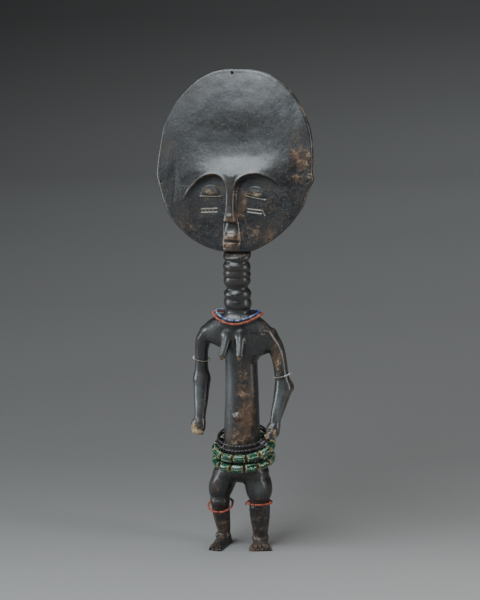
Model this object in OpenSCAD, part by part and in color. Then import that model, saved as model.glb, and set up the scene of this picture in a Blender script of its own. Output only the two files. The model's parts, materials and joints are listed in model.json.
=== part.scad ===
// Standing fertility doll: a figure carved from one piece of wood, dressed in bead strands.
// Millimetres. +Z up, the figure faces -Y, the origin is on the ground at the middle of its footprint box.

/* [Figure] */
// Height of the carving from soles to the top of the head disc
figure_h = 380; // [370:1:390]
// Width of the head disc without its ear point
head_w = 126.5; // [122:0.5:130]
// Height of the head disc
head_h = 143.5; // [138:0.5:148]
// Thickness of the head disc at its rim
head_rim_t = 5.2; // [4:0.1:7]
// Extra thickness of the head disc at its middle, on each face
head_swell = 3; // [1:0.1:4]
// Backward tilt of the head disc in degrees
head_tilt = 10; // [6:0.5:12]

/* [Pierced holes] */
// Radius of the hole at the top of the head disc
top_hole_r = 1.0; // [0.8:0.05:1.2]
// Radius of the two ear holes
ear_hole_r = 1.1; // [0.8:0.05:1.3]

/* [Bead strands] */
// Diameter of the red seed beads
red_bead_d = 1.8; // [1.6:0.05:1.9]
// Diameter of the blue and white seed beads
pale_bead_d = 1.6; // [1.4:0.05:1.7]
// Diameter of the dark tube beads at the waist
dark_bead_d = 1.9; // [1.7:0.05:2]
// Diameter of the green cane beads
green_bead_d = 7; // [6:0.1:7.2]
// Length of the green cane beads
green_bead_l = 8.8; // [8:0.1:9]
// Number of green cane beads in one row
green_count = 13; // [13:1:13]
// Radius of the cord that carries the seed and tube beads
thin_cord_r = 0.33; // [0.25:0.01:0.35]
// Radius of the cord that carries the green beads
thick_cord_r = 0.4; // [0.3:0.01:0.45]

/* [Hidden] */
$fn = 32;
WOOD = "#2b2622";
LOFT_STEPS = 3;

// ---- names -------------------------------------------------------------------------------------
function two_digits(i) = str(i < 10 ? "0" : "", i);
UPPER_GREEN = [for (i = [1:green_count]) str("green_bead_upper_", two_digits(i))];
LOWER_GREEN = [for (i = [1:green_count]) str("green_bead_lower_", two_digits(i))];

// ---- placement: the whole figure is shifted so that its box is centred on the origin ------------
CENTRING = [7.1, -0.31, 0];
module placed() translate(CENTRING) children();

// ---- lofts -------------------------------------------------------------------------------------
// A closed ring of points: an oval whose power makes it round (2) or squarer (above 2).
function oval(z, cx, cy, rx, ry, sides, power) = [
    for (i = [0:sides - 1])
        let (a = 360 * i / sides, c = cos(a), s = sin(a))
        [cx + rx * sign(c) * pow(abs(c), 2 / power), cy + ry * sign(s) * pow(abs(s), 2 / power), z]];

// Catmull-Rom blend of four equal-length vectors.
function blend4(a, b, c, d, t) =
    0.5 * (2 * b + (c - a) * t + (2 * a - 5 * b + 4 * c - d) * t * t + (3 * b - 3 * c + d - a) * t * t * t);
function eased(list, steps) = [
    for (i = [0:len(list) - 2], k = [0:steps - 1])
        blend4(list[max(i - 1, 0)], list[i], list[i + 1], list[min(i + 2, len(list) - 1)], k / steps),
    list[len(list) - 1]];

// Skins a stack of rings that run upwards, each ring counter-clockwise from above.
module skin(rings) {
    sides = len(rings[0]);
    layers = len(rings);
    points = [for (ring = rings, p = ring) p];
    walls = [for (k = [0:layers - 2], i = [0:sides - 1])
        let (a = k * sides + i, b = k * sides + (i + 1) % sides)
        each [[a, a + sides, b + sides], [a, b + sides, b]]];
    floor_cap = [for (i = [0:sides - 1]) i];
    top_cap = [for (i = [sides - 1:-1:0]) (layers - 1) * sides + i];
    polyhedron(points, concat([floor_cap], walls, [top_cap]), convexity = 6);
}

// A limb from upward sections [z, centre x, centre y, half width, half depth].
module limb(sections, sides = 20, power = 2.2, steps = LOFT_STEPS)
    skin([for (s = eased(sections, steps)) oval(s[0], s[1], s[2], s[3], s[4], sides, power)]);

// A closed tube of circular section along a closed list of points.
module closed_tube(path, r, sides = 8) {
    n = len(path);
    function unit(v) = v / norm(v);
    rings = [for (i = [0:n - 1])
        let (t = unit(path[(i + 1) % n] - path[(i + n - 1) % n]),
             side = unit(cross([0, 0, 1], t)),
             up = cross(t, side))
        [for (k = [0:sides - 1]) path[i] + r * (cos(360 * k / sides) * side + sin(360 * k / sides) * up)]];
    points = [for (ring = rings, p = ring) p];
    faces = [for (i = [0:n - 1], k = [0:sides - 1])
        let (a = i * sides + k, b = i * sides + (k + 1) % sides,
             c = ((i + 1) % n) * sides + k, d = ((i + 1) % n) * sides + (k + 1) % sides)
        each [[a, c, d], [a, d, b]]];
    polyhedron(points, faces, convexity = 10);
}

// ---- the carving -------------------------------------------------------------------------------
NECK_BASE = [-3, -1.5, 188];
NECK_TOP = [-2.9, -6, 241];
HEAD_AT = [-7.7, -6.6, figure_h - head_h * cos(head_tilt) - head_rim_t / 2 * sin(head_tilt)];
HEAD_MID = 0.43 * head_h;
// The nose and mouth sit a little to the figure's left of the middle of the disc.
FACE_U = 0.8;

// Outline of the head disc in its own plane: a full upper arch on a rounder lower one.
function head_outline(a, grow) =
    let (c = cos(a), s = sin(a), power = s > 0 ? 2.2 : 1.9,
         half_h = s > 0 ? head_h - HEAD_MID : HEAD_MID)
    [(head_w / 2 + grow) * sign(c) * pow(abs(c), 2 / power),
     HEAD_MID + (half_h + grow) * sign(s) * pow(abs(s), 2 / power)];

module in_head() translate(HEAD_AT) rotate([90 - head_tilt, 0, 0]) children();

// The disc as a stack of outlines through its thickness; local z points out of the face.
module head_disc() {
    half = head_rim_t / 2;
    levels = [[-half - head_swell, -40], [-half - 0.8 * head_swell, -26], [-half - 0.35 * head_swell, -10],
              [-half, -1.4], [-half * 0.4, 0], [half * 0.4, 0], [half, -1.4],
              [half + 0.35 * head_swell, -10], [half + 0.8 * head_swell, -26], [half + head_swell, -40]];
    skin([for (l = levels) [for (i = [0:55]) let (p = head_outline(360 * i / 56, l[1])) [p[0], p[1], l[0]]]]);
}

// The small point of the rim that carries the left ear hole.
module ear_point()
    translate([head_w / 2 - 4, 59.2, -1.5]) linear_extrude(3)
        polygon([[-6, 14], [2.6, 11], [5.2, 1.5], [4.4, -1.6], [0, -8], [-6, -13]]);

// Height of an arch at u that rises from its outer foot to a peak and falls again to its inner foot.
function arch(u, from, peak_u, to, rise) =
    rise * (1 - pow(u < peak_u ? (peak_u - u) / (peak_u - from) : (u - peak_u) / (to - peak_u), 2));

// Raised forehead whose lower edge makes the two brow arches and runs down into the nose.
module forehead() {
    brow = concat(
        [for (i = [0:10]) let (u = -39 + i * 35 / 10) [u, 42.5 + arch(u, -42, -16, 0, 18)]],
        [[FACE_U - 4, 50], [FACE_U - 3, 34], [FACE_U + 3, 34], [FACE_U + 4, 50]],
        [for (i = [0:10]) let (u = 7 + i * 38 / 10) [u, 42.5 + arch(u, 2.5, 19.5, 48.5, 18)]]);
    crown = [for (i = [1:9]) let (a = i * 18) [3 + 43 * cos(a), 55 + 21 * sin(a)]];
    intersection() {
        translate([0, 0, 3]) linear_extrude(7) polygon(concat(brow, crown));
        translate([2, 59, -6]) resize([108, 56, 30]) sphere(r = 10, $fn = 32);
    }
}

module nose() {
    sections = [[22, FACE_U, 4.6, 4.2, 5.4], [23, FACE_U, 4.8, 4.9, 6.2], [26.5, FACE_U, 4.6, 4.6, 5.8],
                [30, FACE_U, 4.4, 3.4, 4.8], [42, FACE_U, 4.2, 3, 4.2], [60, FACE_U, 3.8, 3.2, 4]];
    rotate([-90, 0, 0]) mirror([0, 1, 0]) limb(sections, 12, 2.6, 1);
}

module mouth()
    for (lip = [[6.8, 5.9, 5.2], [12.8, 5.6, 6]])
        translate([FACE_U + 1, lip[0], 3.6]) resize([2 * lip[1], lip[2], 8]) sphere(r = 4, $fn = 14);

module eye(u)
    translate([u, 44.4, 4.2]) intersection() {
        resize([16, 12, 5]) sphere(r = 5, $fn = 18);
        translate([-9, 0, 0]) cube([18, 8, 6]);
    }

module cheek_marks(u)
    for (row = [0, 1])
        translate([u - 6.3, 30.8 + 3 * row, 3]) cube([12.6, 0.9, 2.9]);

module head() in_head() {
    head_disc();
    ear_point();
    forehead();
    nose();
    mouth();
    for (u = [-17.2, 19.8]) {
        eye(u);
        cheek_marks(u);
    }
}

// Ringed neck: [share of its height, radius].
NECK_PROFILE = [[0, 9.5], [0.03, 9.6], [0.08, 10.9], [0.13, 10.3], [0.19, 10.7], [0.25, 10.9], [0.33, 8.8],
                [0.38, 9.1], [0.45, 10.6], [0.5, 9.9], [0.56, 10.5], [0.62, 9.9], [0.68, 10.6], [0.74, 9],
                [0.79, 9.4], [0.86, 11], [0.93, 11.1], [1, 10.8]];
module neck() {
    span = NECK_TOP - NECK_BASE;
    skin([for (p = NECK_PROFILE) oval(NECK_BASE[2] + span[2] * p[0], NECK_BASE[0] + span[0] * p[0],
        NECK_BASE[1] + span[1] * p[0], p[1], p[1] * 0.94, 24, 2)]);
}

// Body and limbs, from the bottom up: [height, centre x, centre y, half width, half depth].
YOKE = [[153, 1, -0.2, 12.6, 10], [156, 2.6, -0.3, 14.6, 11], [158, 4, -0.4, 17.6, 11.4],
        [161, 3, -0.5, 20.2, 11.9], [163, 1.4, -0.6, 23.6, 12.2], [165.4, -0.9, -0.7, 27, 12.6],
        [170, -2.6, -0.9, 30.4, 13.1],
        [174, -3.2, -1, 31, 13.6],
        [179, -3.5, -1.2, 26.6, 13.2], [183.4, -3.3, -1.4, 21.8, 12.3], [186.4, -3.1, -1.5, 17.2, 11.2],
        [188.4, -3, -1.5, 13, 10.1], [190.2, -3, -1.6, 9.6, 9.2]];
TORSO = [[60, 0, 0, 18, 14], [67, 0, 0, 17, 14], [74, 0, 0.2, 15.8, 13.8], [82, 0, 0.2, 14.6, 13],
         [102, 0, -0.2, 14, 12.2], [124, 0, -0.3, 13.3, 11.5], [148, -0.6, -0.2, 12.8, 11.5],
         [164, -1, -0.2, 15, 12]];
HIPS = [[53, -1.6, 0.6, 15, 8], [55, -1.6, 0.8, 20, 10.6], [58, -1.4, 0.8, 23.4, 13],
        [61.5, -0.8, 0.8, 22.6, 13.8],
        [66, 0, 0.8, 18.6, 13.8], [70, 0, 0.6, 16.6, 13.6]];
RIGHT_ARM = [[90.6, -33.2, -10.8, 3.8, 3], [92.5, -33.4, -10.7, 5.6, 4], [97, -33.4, -9.8, 6.3, 4.9],
             [101, -32.7, -8.8, 5.2, 4.8], [105, -32.4, -8, 4.5, 4.6], [112, -32.4, -6.2, 5, 5],
             [124, -32.7, -3.2, 5.9, 5.7], [134, -33, -0.8, 7, 6.6], [139, -33.2, -0.5, 6, 5.9],
             [146, -33.4, -0.3, 5, 5.4], [155, -33.4, -0.2, 5.1, 5.5], [163, -32.4, -0.3, 5.9, 6.4],
             [170, -29.6, -0.5, 6.9, 8], [176.5, -25, -0.8, 7, 9]];
LEFT_ARM = [[92, 27.2, -10.6, 3.6, 3], [93.6, 27.4, -10.4, 4.9, 4], [97.5, 28.5, -9.8, 5.7, 4.9],
            [101, 29, -8.9, 4.8, 4.7], [105, 29.4, -8, 4.3, 4.5], [112, 30.8, -6, 5, 5],
            [120, 32.4, -3.8, 5.8, 5.7], [130.5, 34.5, -1, 7.4, 6.7], [137, 33.6, -0.5, 6.4, 6.2],
            [143, 32.2, -0.4, 5.6, 5.6], [151, 30.9, -0.2, 5.7, 5.8], [160, 28.6, -0.3, 6.4, 6.6],
            [168, 25, -0.5, 7, 8], [176.5, 19.8, -0.8, 7, 9]];
RIGHT_LEG = [[4, -15.2, 0.6, 5, 5.6], [10, -15.2, 0.4, 5, 5.7], [20, -16.8, 0, 6.4, 6.2],
             [28, -17.6, -0.2, 7.2, 6.8],
             [32, -17.8, -1, 7.4, 7.2], [34.6, -17.9, -1.9, 7.9, 8], [37, -17.9, -1.6, 8, 8],
             [39.4, -17.9, -1, 8, 8.2], [42, -17.8, -0.2, 9, 10],
             [48, -17, 0, 9.4, 11.2], [55, -14.6, 0.4, 9.8, 12],
             [61, -10, 0.6, 9.4, 11]];
LEFT_LEG = [[4, 15.1, 0.6, 5.8, 5.8], [10, 15.1, 0.4, 5.9, 6], [20, 14.9, 0, 7.3, 6.8],
            [28, 14.7, -0.2, 8.2, 7.4],
            [32, 14.7, -0.4, 8.2, 7.6], [35, 14.6, -0.5, 8.1, 7.8], [38, 14.5, -0.5, 8.1, 8],
            [40, 14.4, -0.4, 8.5, 8.8], [42.4, 14.3, -0.2, 9.4, 10],
            [48, 13.8, 0, 9.9, 11.4], [55, 12.4, 0.4, 10, 12.2],
            [61, 9, 0.6, 9.4, 11]];
// A foot along its own length: [distance ahead of the ankle, half width, height].
FOOT = [[-10, 3.2, 4.6], [-7.5, 5, 7.2], [0, 5.8, 8.6], [7, 6.2, 7.4], [14, 7.4, 5.4], [20, 7.6, 4.6],
        [23, 6, 3.4]];

// reach and spread stretch the part of the foot ahead of the ankle.
module foot(x, y, yaw, reach, spread)
    translate([x, y, 0]) rotate([0, 0, yaw])
        skin([for (s = eased(FOOT, 2)) [for (i = [0:12])
            let (a = 15 * i, ahead = max(s[0], 0))
            [s[1] * (1 + (spread - 1) * min(ahead, 14) / 14) * cos(a), -s[0] - ahead * (reach - 1),
             s[2] * pow(sin(a), 0.7)]]]);

// A hanging cone on the chest, from its tip up to its root.
module breast(tip, root) {
    radii = [2.2, 2.8, 3.1, 3.7, 4.5, 5.2];
    skin([for (k = [0:5]) let (p = tip + (root - tip) * k / 5)
        oval(p[2], p[0], p[1], radii[k], radii[k] * 1.2, 14, 2)]);
}

module navel() translate([-0.6, -11.2, 107.4]) rotate([90, 0, 0]) {
    cylinder(h = 2.2, r1 = 3.2, r2 = 2.3, $fn = 20);
    translate([0, 0, 2]) sphere(r = 1.4, $fn = 12);
}

module carved_mass() {
    head();
    neck();
    limb(YOKE, 30, 2.3, 2);
    limb(TORSO, 30, 2.1, 2);
    limb(HIPS, 28, 2.3, 2);
    limb(RIGHT_ARM, 16, 2.1, 2);
    limb(LEFT_ARM, 16, 2.1, 2);
    limb(RIGHT_LEG, 18, 2.2, 2);
    limb(LEFT_LEG, 18, 2.2, 2);
    foot(-15.2, -1, -2, 1.03, 0.74);
    foot(15.1, 0.4, 15, 0.72, 1.2);
    breast([-10.8, -20.4, 155.4], [-8, -9, 176]);
    breast([3.6, -20.6, 156], [1.8, -9, 176]);
    navel();
}

TOP_HOLE = [-4.5, head_h - 3.8];
LEFT_EAR_HOLE = [60.6, 57];
RIGHT_EAR_HOLE = [-58.8, 53];
module pierced_holes() in_head()
    for (hole = [[TOP_HOLE, top_hole_r], [LEFT_EAR_HOLE, ear_hole_r], [RIGHT_EAR_HOLE, ear_hole_r]])
        translate([hole[0][0], hole[0][1], -15]) cylinder(h = 30, r = hole[1]);

module carved_figure() color(WOOD) difference() {
    resize([0, 0, figure_h]) carved_mass();
    pierced_holes();
}

// ---- bead strands ------------------------------------------------------------------------------
// A bead along Z with a true bore and chamfered ends.
module bead(d, l, bore_r, chamfer) rotate_extrude() polygon([
    [bore_r, -l / 2], [d / 2 - chamfer, -l / 2], [d / 2, -l / 2 + chamfer],
    [d / 2, l / 2 - chamfer], [d / 2 - chamfer, l / 2], [bore_r, l / 2]]);

// Places children with Z along the tangent.
module along(at, tangent) {
    t = tangent / norm(tangent);
    translate(at) rotate([0, acos(t[2]), atan2(t[1], t[0])]) children();
}

// A round loop: [centre, radius, tilt of its front edge downwards, roll of its left side upwards].
RED_PITCH = 1.55;
UPPER_GREEN_LOOP = [[1.2, 0.3, 81], 22.5, 13.5, 3];
LOWER_GREEN_LOOP = [[1.2, 0.3, 71.5], 22.3, 9.5, 1];
UPPER_DARK_LOOP = [[0.3, 0.2, 90.2], 19.4, 15.5, 1];
LOWER_DARK_LOOP = [[0.3, 0.3, 87], 20.1, 16.5, 1];
RIGHT_KNEE_LOOP = [[-17.9, -0.8, 32.2], 9.8, 26, 0];
LEFT_KNEE_LOOP = [[14.6, -0.5, 36.3], 9.7, -1, 2];

// The loop's own frame: its axis is Z, and angle 0 points to the back, where the knot sits by default.
module in_loop(loop) translate(loop[0]) rotate([0, -loop[3], 0]) rotate([loop[2], 0, 0]) children();

module round_cord(loop, cord_r, knot_r, knot_at) in_loop(loop) {
    rotate_extrude($fn = 64) translate([loop[1], 0]) circle(r = cord_r, $fn = 16);
    rotate(knot_at) translate([loop[1] + 0.2, 0, 0]) {
        sphere(r = knot_r, $fn = 24);
        for (side = [-1, 1])
            rotate([side * 50, 90, 0]) cylinder(h = 2.6 * knot_r, r = cord_r * 0.9, $fn = 16);
    }
}

// Bead number i of a round strand; the knot has the gap.
module round_strand(loop, count, gap_deg, knot_at, first = 0, step = 1) in_loop(loop)
    for (i = [first:step:count - 1])
        rotate(knot_at + gap_deg / 2 + (i + 0.5) * (360 - gap_deg) / count)
            translate([loop[1], 0, 0]) rotate([90, 0, 0]) children();

function strand_count(radius, pitch, gap_deg) = floor(2 * PI * radius * (360 - gap_deg) / 360 / pitch);

KNEE_GAP = 16;
DARK_GAP = 12;
GREEN_GAP = 9;
RIGHT_KNEE_KNOT = 42;
LEFT_KNEE_KNOT = 190;
DARK_UPPER_KNOT = 70;
DARK_LOWER_KNOT = 110;
GREEN_UPPER_KNOT = 96;
GREEN_LOWER_KNOT = 66;

module knee_beads(loop, knot_at) color("#b5503f")
    round_strand(loop, strand_count(loop[1], RED_PITCH, KNEE_GAP), KNEE_GAP, knot_at)
        bead(red_bead_d, 1.4, 0.42, 0.3);

DARK_PITCH = 2.75;
module dark_beads(loop, knot_at) color("#3a3338")
    round_strand(loop, strand_count(loop[1], DARK_PITCH, DARK_GAP), DARK_GAP, knot_at)
        bead(dark_bead_d, 2.5, 0.44, 0.25);

module green_bead(loop, i, knot_at) color("#1f6b45") in_loop(loop)
    rotate(knot_at + GREEN_GAP / 2 + (i + 0.5) * (360 - GREEN_GAP) / green_count)
        translate([loop[1] - 0.2, 0, 0]) rotate([90, 0, 0]) bead(green_bead_d, green_bead_l, 0.8, 0.8);

// A draped collar: an oval that rides high on the shoulders and drops over the chest and the nape.
// [centre x, centre y, height at the shoulders, half width, half depth, drop in front, drop behind]
RED_COLLAR = [-3, -1.6, 189.3, 19.7, 15.3, 6.5, 2.6];
PALE_COLLAR = [-3, -1.6, 190.6, 17.3, 13.1, 5.3, 1.8];
function collar_point(c, a) =
    [c[0] + c[3] * sin(a), c[1] - c[4] * cos(a), c[2] - (cos(a) > 0 ? c[5] : c[6]) * cos(a) * cos(a)];
function collar_tangent(c, a) = collar_point(c, a + 1) - collar_point(c, a - 1);
function running_sum(v, i = 0, total = 0) =
    i >= len(v) ? [total] : concat([total], running_sum(v, i + 1, total + v[i]));
function collar_table(c) =
    let (step = 5, spans = [for (a = [0:step:355]) norm(collar_point(c, a + step) - collar_point(c, a))],
         sums = running_sum(spans))
    [for (i = [0:len(sums) - 1]) [sums[i], i * step - 180]];

// The two cut ends of the cord leave the knot at tail_pitch degrees from straight up.
module collar_cord(c, cord_r, knot_r, tail_pitch) color("#5a4a3a") resize([0, 0, 0]) union() {
    closed_tube([for (a = [-180:9:171]) collar_point(c, a)], cord_r, 6);
    translate(collar_point(c, 180) + [0, 0.1, 0]) {
        sphere(r = knot_r, $fn = 10);
        for (side = [-1, 1])
            rotate([-tail_pitch, 0, 0]) rotate([0, side * 30, 0])
                cylinder(h = 2.4 * knot_r, r = cord_r * 0.9, $fn = 6);
    }
}

// Beads spaced evenly along the collar, leaving a gap at the knot behind the neck; keep picks a colour.
module collar_strand(c, pitch, gap, keep) {
    table = [for (row = collar_table(c)) row];
    total = table[len(table) - 1][0];
    count = floor((total - gap) / pitch);
    start = (total - (count - 1) * pitch) / 2;
    for (i = [0:count - 1]) if (keep(i)) {
        a = lookup(start + i * pitch, table);
        along(collar_point(c, a), collar_tangent(c, a)) children();
    }
}
ALL = function(i) true;
BLUE = function(i) i % 4 == 0 || i % 11 == 3 || i > 44;
WHITE = function(i) !BLUE(i);
PALE_PITCH = 1.45;

// Thin cord tied round the upper arm: [centre, radius, tilt, roll].
RIGHT_ARM_LOOP = [[-33.4, -0.3, 150.6], 6.4, 6, -9];
LEFT_ARM_LOOP = [[32.3, -0.4, 141], 6.95, 4, 12];
module arm_cord(loop) color("#8d8678") round_cord(loop, 0.3, 0.65, 20);
// A few beads only, on the outer side of each arm; mid is the angle of the middle one.
module arm_beads(loop, mid) color("#d9d6cb") in_loop(loop)
    for (i = [-2:2]) rotate(mid + 11.5 * i)
        translate([loop[1], 0, 0]) rotate([90, 0, 0]) bead(1.2, 1.1, 0.38, 0.2);

placed() carved_figure();
placed() collar_cord(RED_COLLAR, thin_cord_r, 1, 110);  // collar_red_cord
placed() color("#b5503f")  // collar_red_beads
    collar_strand(RED_COLLAR, RED_PITCH, 4.4, ALL) bead(red_bead_d, 1.4, 0.42, 0.3);
placed()  // collar_pale_cord
    collar_cord(PALE_COLLAR, thin_cord_r, 0.85, 0);
placed() color("#2a4f9e")  // collar_blue_beads
    collar_strand(PALE_COLLAR, PALE_PITCH, 4, BLUE) bead(pale_bead_d, 1.3, 0.4, 0.25);
placed() color("#c9d4da")  // collar_white_beads
    collar_strand(PALE_COLLAR, PALE_PITCH, 4, WHITE) bead(pale_bead_d, 1.3, 0.4, 0.25);
placed() arm_cord(RIGHT_ARM_LOOP);  // right_arm_cord
placed() arm_beads(RIGHT_ARM_LOOP, 200);  // right_arm_beads
placed() arm_cord(LEFT_ARM_LOOP);  // left_arm_cord
placed() arm_beads(LEFT_ARM_LOOP, 330);  // left_arm_beads
placed() color("#3b3430")  // waist_dark_upper_cord
    round_cord(UPPER_DARK_LOOP, thin_cord_r, 1, DARK_UPPER_KNOT);
placed() dark_beads(UPPER_DARK_LOOP, DARK_UPPER_KNOT);  // waist_dark_upper_beads
placed() color("#3b3430")  // waist_dark_lower_cord
    round_cord(LOWER_DARK_LOOP, thin_cord_r, 1, DARK_LOWER_KNOT);
placed() dark_beads(LOWER_DARK_LOOP, DARK_LOWER_KNOT);  // waist_dark_lower_beads
placed() color("#4a3f30")  // waist_green_upper_cord
    round_cord(UPPER_GREEN_LOOP, thick_cord_r, 1.3, GREEN_UPPER_KNOT);
placed() color("#4a3f30")  // waist_green_lower_cord
    round_cord(LOWER_GREEN_LOOP, thick_cord_r, 1.3, GREEN_LOWER_KNOT);
placed() color("#2e2622")  // right_knee_cord
    round_cord(RIGHT_KNEE_LOOP, thin_cord_r, 1.1, RIGHT_KNEE_KNOT);
placed() knee_beads(RIGHT_KNEE_LOOP, RIGHT_KNEE_KNOT);  // right_knee_beads
placed() color("#2e2622")  // left_knee_cord
    round_cord(LEFT_KNEE_LOOP, thin_cord_r, 1.1, LEFT_KNEE_KNOT);
placed() knee_beads(LEFT_KNEE_LOOP, LEFT_KNEE_KNOT);  // left_knee_beads
for (i = [0:green_count - 1]) {
    placed() green_bead(UPPER_GREEN_LOOP, i, GREEN_UPPER_KNOT);
    placed() green_bead(LOWER_GREEN_LOOP, i, GREEN_LOWER_KNOT);
}
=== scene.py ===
import json
import math

import bpy
import numpy as np
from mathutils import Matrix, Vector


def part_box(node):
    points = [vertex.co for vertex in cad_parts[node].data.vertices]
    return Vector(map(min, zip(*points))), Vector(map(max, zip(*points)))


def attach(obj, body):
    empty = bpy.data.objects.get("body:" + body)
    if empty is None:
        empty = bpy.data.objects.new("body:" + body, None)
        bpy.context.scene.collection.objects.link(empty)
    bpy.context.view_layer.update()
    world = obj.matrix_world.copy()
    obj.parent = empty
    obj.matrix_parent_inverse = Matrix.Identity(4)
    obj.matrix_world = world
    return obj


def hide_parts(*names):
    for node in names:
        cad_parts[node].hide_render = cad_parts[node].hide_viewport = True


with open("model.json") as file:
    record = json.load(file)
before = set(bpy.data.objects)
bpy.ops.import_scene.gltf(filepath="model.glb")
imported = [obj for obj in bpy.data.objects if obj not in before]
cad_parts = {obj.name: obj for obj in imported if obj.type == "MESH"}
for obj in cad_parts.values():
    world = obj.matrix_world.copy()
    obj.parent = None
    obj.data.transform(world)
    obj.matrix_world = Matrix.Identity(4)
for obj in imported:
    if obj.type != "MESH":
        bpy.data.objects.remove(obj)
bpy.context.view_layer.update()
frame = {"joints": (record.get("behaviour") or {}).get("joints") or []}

import openvdb
from mathutils import Matrix, Vector

MM = 0.001
# The carving's own axes sit here in the row frame, in millimetres.
CENTRING = np.array([7.1, -0.31, 0.0])
FAR = 1000.0
# Distances beyond this from the surface, in millimetres, don't matter to it.
BAND = 3.0
# Room round a shape within which it still blends with its neighbours.
REACH = 5


# ---- numbers ---------------------------------------------------------------------------------
def unit(v):
    v = np.asarray(v, float)
    return v / np.linalg.norm(v)


def smoothstep(low, high, x):
    t = np.clip((x - low) / (high - low), 0, 1)
    return t * t * (3 - 2 * t)


def monotone(x, xs, ys):
    """Smooth curve through the points that never overshoots them."""
    xs, ys = np.asarray(xs, float), np.asarray(ys, float)
    h = np.diff(xs)
    d = np.diff(ys) / h
    m = np.concatenate([[d[0]], np.zeros(len(xs) - 2), [d[-1]]])
    for k in range(1, len(xs) - 1):
        if d[k - 1] * d[k] > 0:
            a, b = 2 * h[k] + h[k - 1], h[k] + 2 * h[k - 1]
            m[k] = (a + b) / (a / d[k - 1] + b / d[k])
    x = np.clip(x, xs[0], xs[-1])
    k = np.clip(np.searchsorted(xs, x, side="right") - 1, 0, len(xs) - 2)
    t = (x - xs[k]) / h[k]
    return ((1 + 2 * t) * (1 - t) ** 2 * ys[k] + t * (1 - t) ** 2 * h[k] * m[k]
            + t * t * (3 - 2 * t) * ys[k + 1] + t * t * (t - 1) * h[k] * m[k + 1])


LATTICE_SIZE = 32
LATTICE = np.random.default_rng(7).random((LATTICE_SIZE,) * 3).astype(np.float32) * 2 - 1
# How far apart in the lattice two seeds and two octaves read it.
SEED_SHIFT, OCTAVE_SHIFT = 3.37, 11.9


def blend_corners(values, near, far, f):
    """Values of a lattice blended between the eight corners of each point's cell."""
    total = 0.0
    for bits in range(8):
        pick = [(bits >> axis) & 1 for axis in range(3)]
        corner = tuple((far if pick[axis] else near)[:, axis] for axis in range(3))
        weight = 1.0
        for axis in range(3):
            weight = weight * (f[:, axis] if pick[axis] else 1 - f[:, axis])
        total = total + weight * values[corner]
    return total


def noise(p, cell, seed=0, octaves=1):
    """Smooth value noise in -1..1; cell is the grain size in millimetres, one number or one per axis."""
    total, size, share = 0.0, 1.0, 0.0
    for o in range(octaves):
        q = p / (np.asarray(cell, float) * size) + seed * SEED_SHIFT + o * OCTAVE_SHIFT
        i = np.floor(q).astype(int)
        f = q - i
        value = blend_corners(LATTICE, i % LATTICE_SIZE, (i + 1) % LATTICE_SIZE, f * f * (3 - 2 * f))
        total = total + value * size
        share += size
        size *= 0.5
    return total / share


def soft_min(a, b, k):
    if k <= 0:
        return np.minimum(a, b)
    h = np.clip(0.5 + 0.5 * (b - a) / k, 0, 1)
    return b + (a - b) * h - k * h * (1 - h)


def soft_max(a, b, k):
    return -soft_min(-a, -b, k)


# ---- clay: signed distances in a box, negative inside the wood ----------------------------------
class Clay:
    def __init__(self, low, high, step):
        self.low, self.step = np.array(low, float), step
        self.axes = [np.arange(a, b + step, step, dtype=np.float32) for a, b in zip(low, high)]
        self.d = np.full([len(a) for a in self.axes], FAR, np.float32)

    def work(self, low, high, field, blend, carve=False):
        cut = tuple(slice(*np.searchsorted(a, (l, h))) for a, l, h in zip(self.axes, low, high))
        if any(c.start >= c.stop for c in cut):
            return
        x, y, z = (a[c] for a, c in zip(self.axes, cut))
        new = field(x[:, None, None], y[None, :, None], z[None, None, :])
        old = self.d[cut]
        self.d[cut] = soft_max(old, -new, blend) if carve else soft_min(old, new, blend)

    def sample(self, p):
        q = (p - self.low) / self.step
        i = np.clip(np.floor(q).astype(int), 0, np.array(self.d.shape) - 2)
        return blend_corners(self.d, i, i + 1, np.clip(q - i, 0, 1))

    def slope(self, p, reach):
        """Gradient and how convex the surface is, from samples a short way off on each side."""
        parts, total = [], 0.0
        for axis in range(3):
            step = np.zeros(3)
            step[axis] = reach
            ahead, behind = self.sample(p + step), self.sample(p - step)
            parts.append((ahead - behind) / (2 * reach))
            total = total + ahead + behind
        return np.stack(parts, 1), (total - 6 * self.sample(p)) / reach ** 2

    def skin(self):
        """The surface as polygons, each point then moved exactly onto it."""
        grid = openvdb.FloatGrid(BAND)
        grid.copyFromArray(np.clip(self.d, -BAND, BAND).astype(np.float32))
        grid.transform = openvdb.createLinearTransform(voxelSize=self.step)
        points, triangles, quads = grid.convertToPolygons(isovalue=0.0, adaptivity=0.0)
        points = np.asarray(points, float) + self.low
        for _ in range(2):
            g, _ = self.slope(points, self.step)
            points = points - g * (self.sample(points) / np.maximum((g ** 2).sum(1), 0.2))[:, None]
        return points, np.asarray(triangles).reshape(-1, 3), np.asarray(quads).reshape(-1, 4)


def ellipsoid(at, radii):
    def field(x, y, z):
        a, b, c = (x - at[0]), (y - at[1]), (z - at[2])
        near = np.sqrt((a / radii[0]) ** 2 + (b / radii[1]) ** 2 + (c / radii[2]) ** 2) + 1e-6
        far = np.sqrt((a / radii[0] ** 2) ** 2 + (b / radii[1] ** 2) ** 2 + (c / radii[2] ** 2) ** 2) + 1e-6
        return near * (near - 1) / far
    reach = np.array(radii) + REACH
    return np.array(at) - reach, np.array(at) + reach, field


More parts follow.
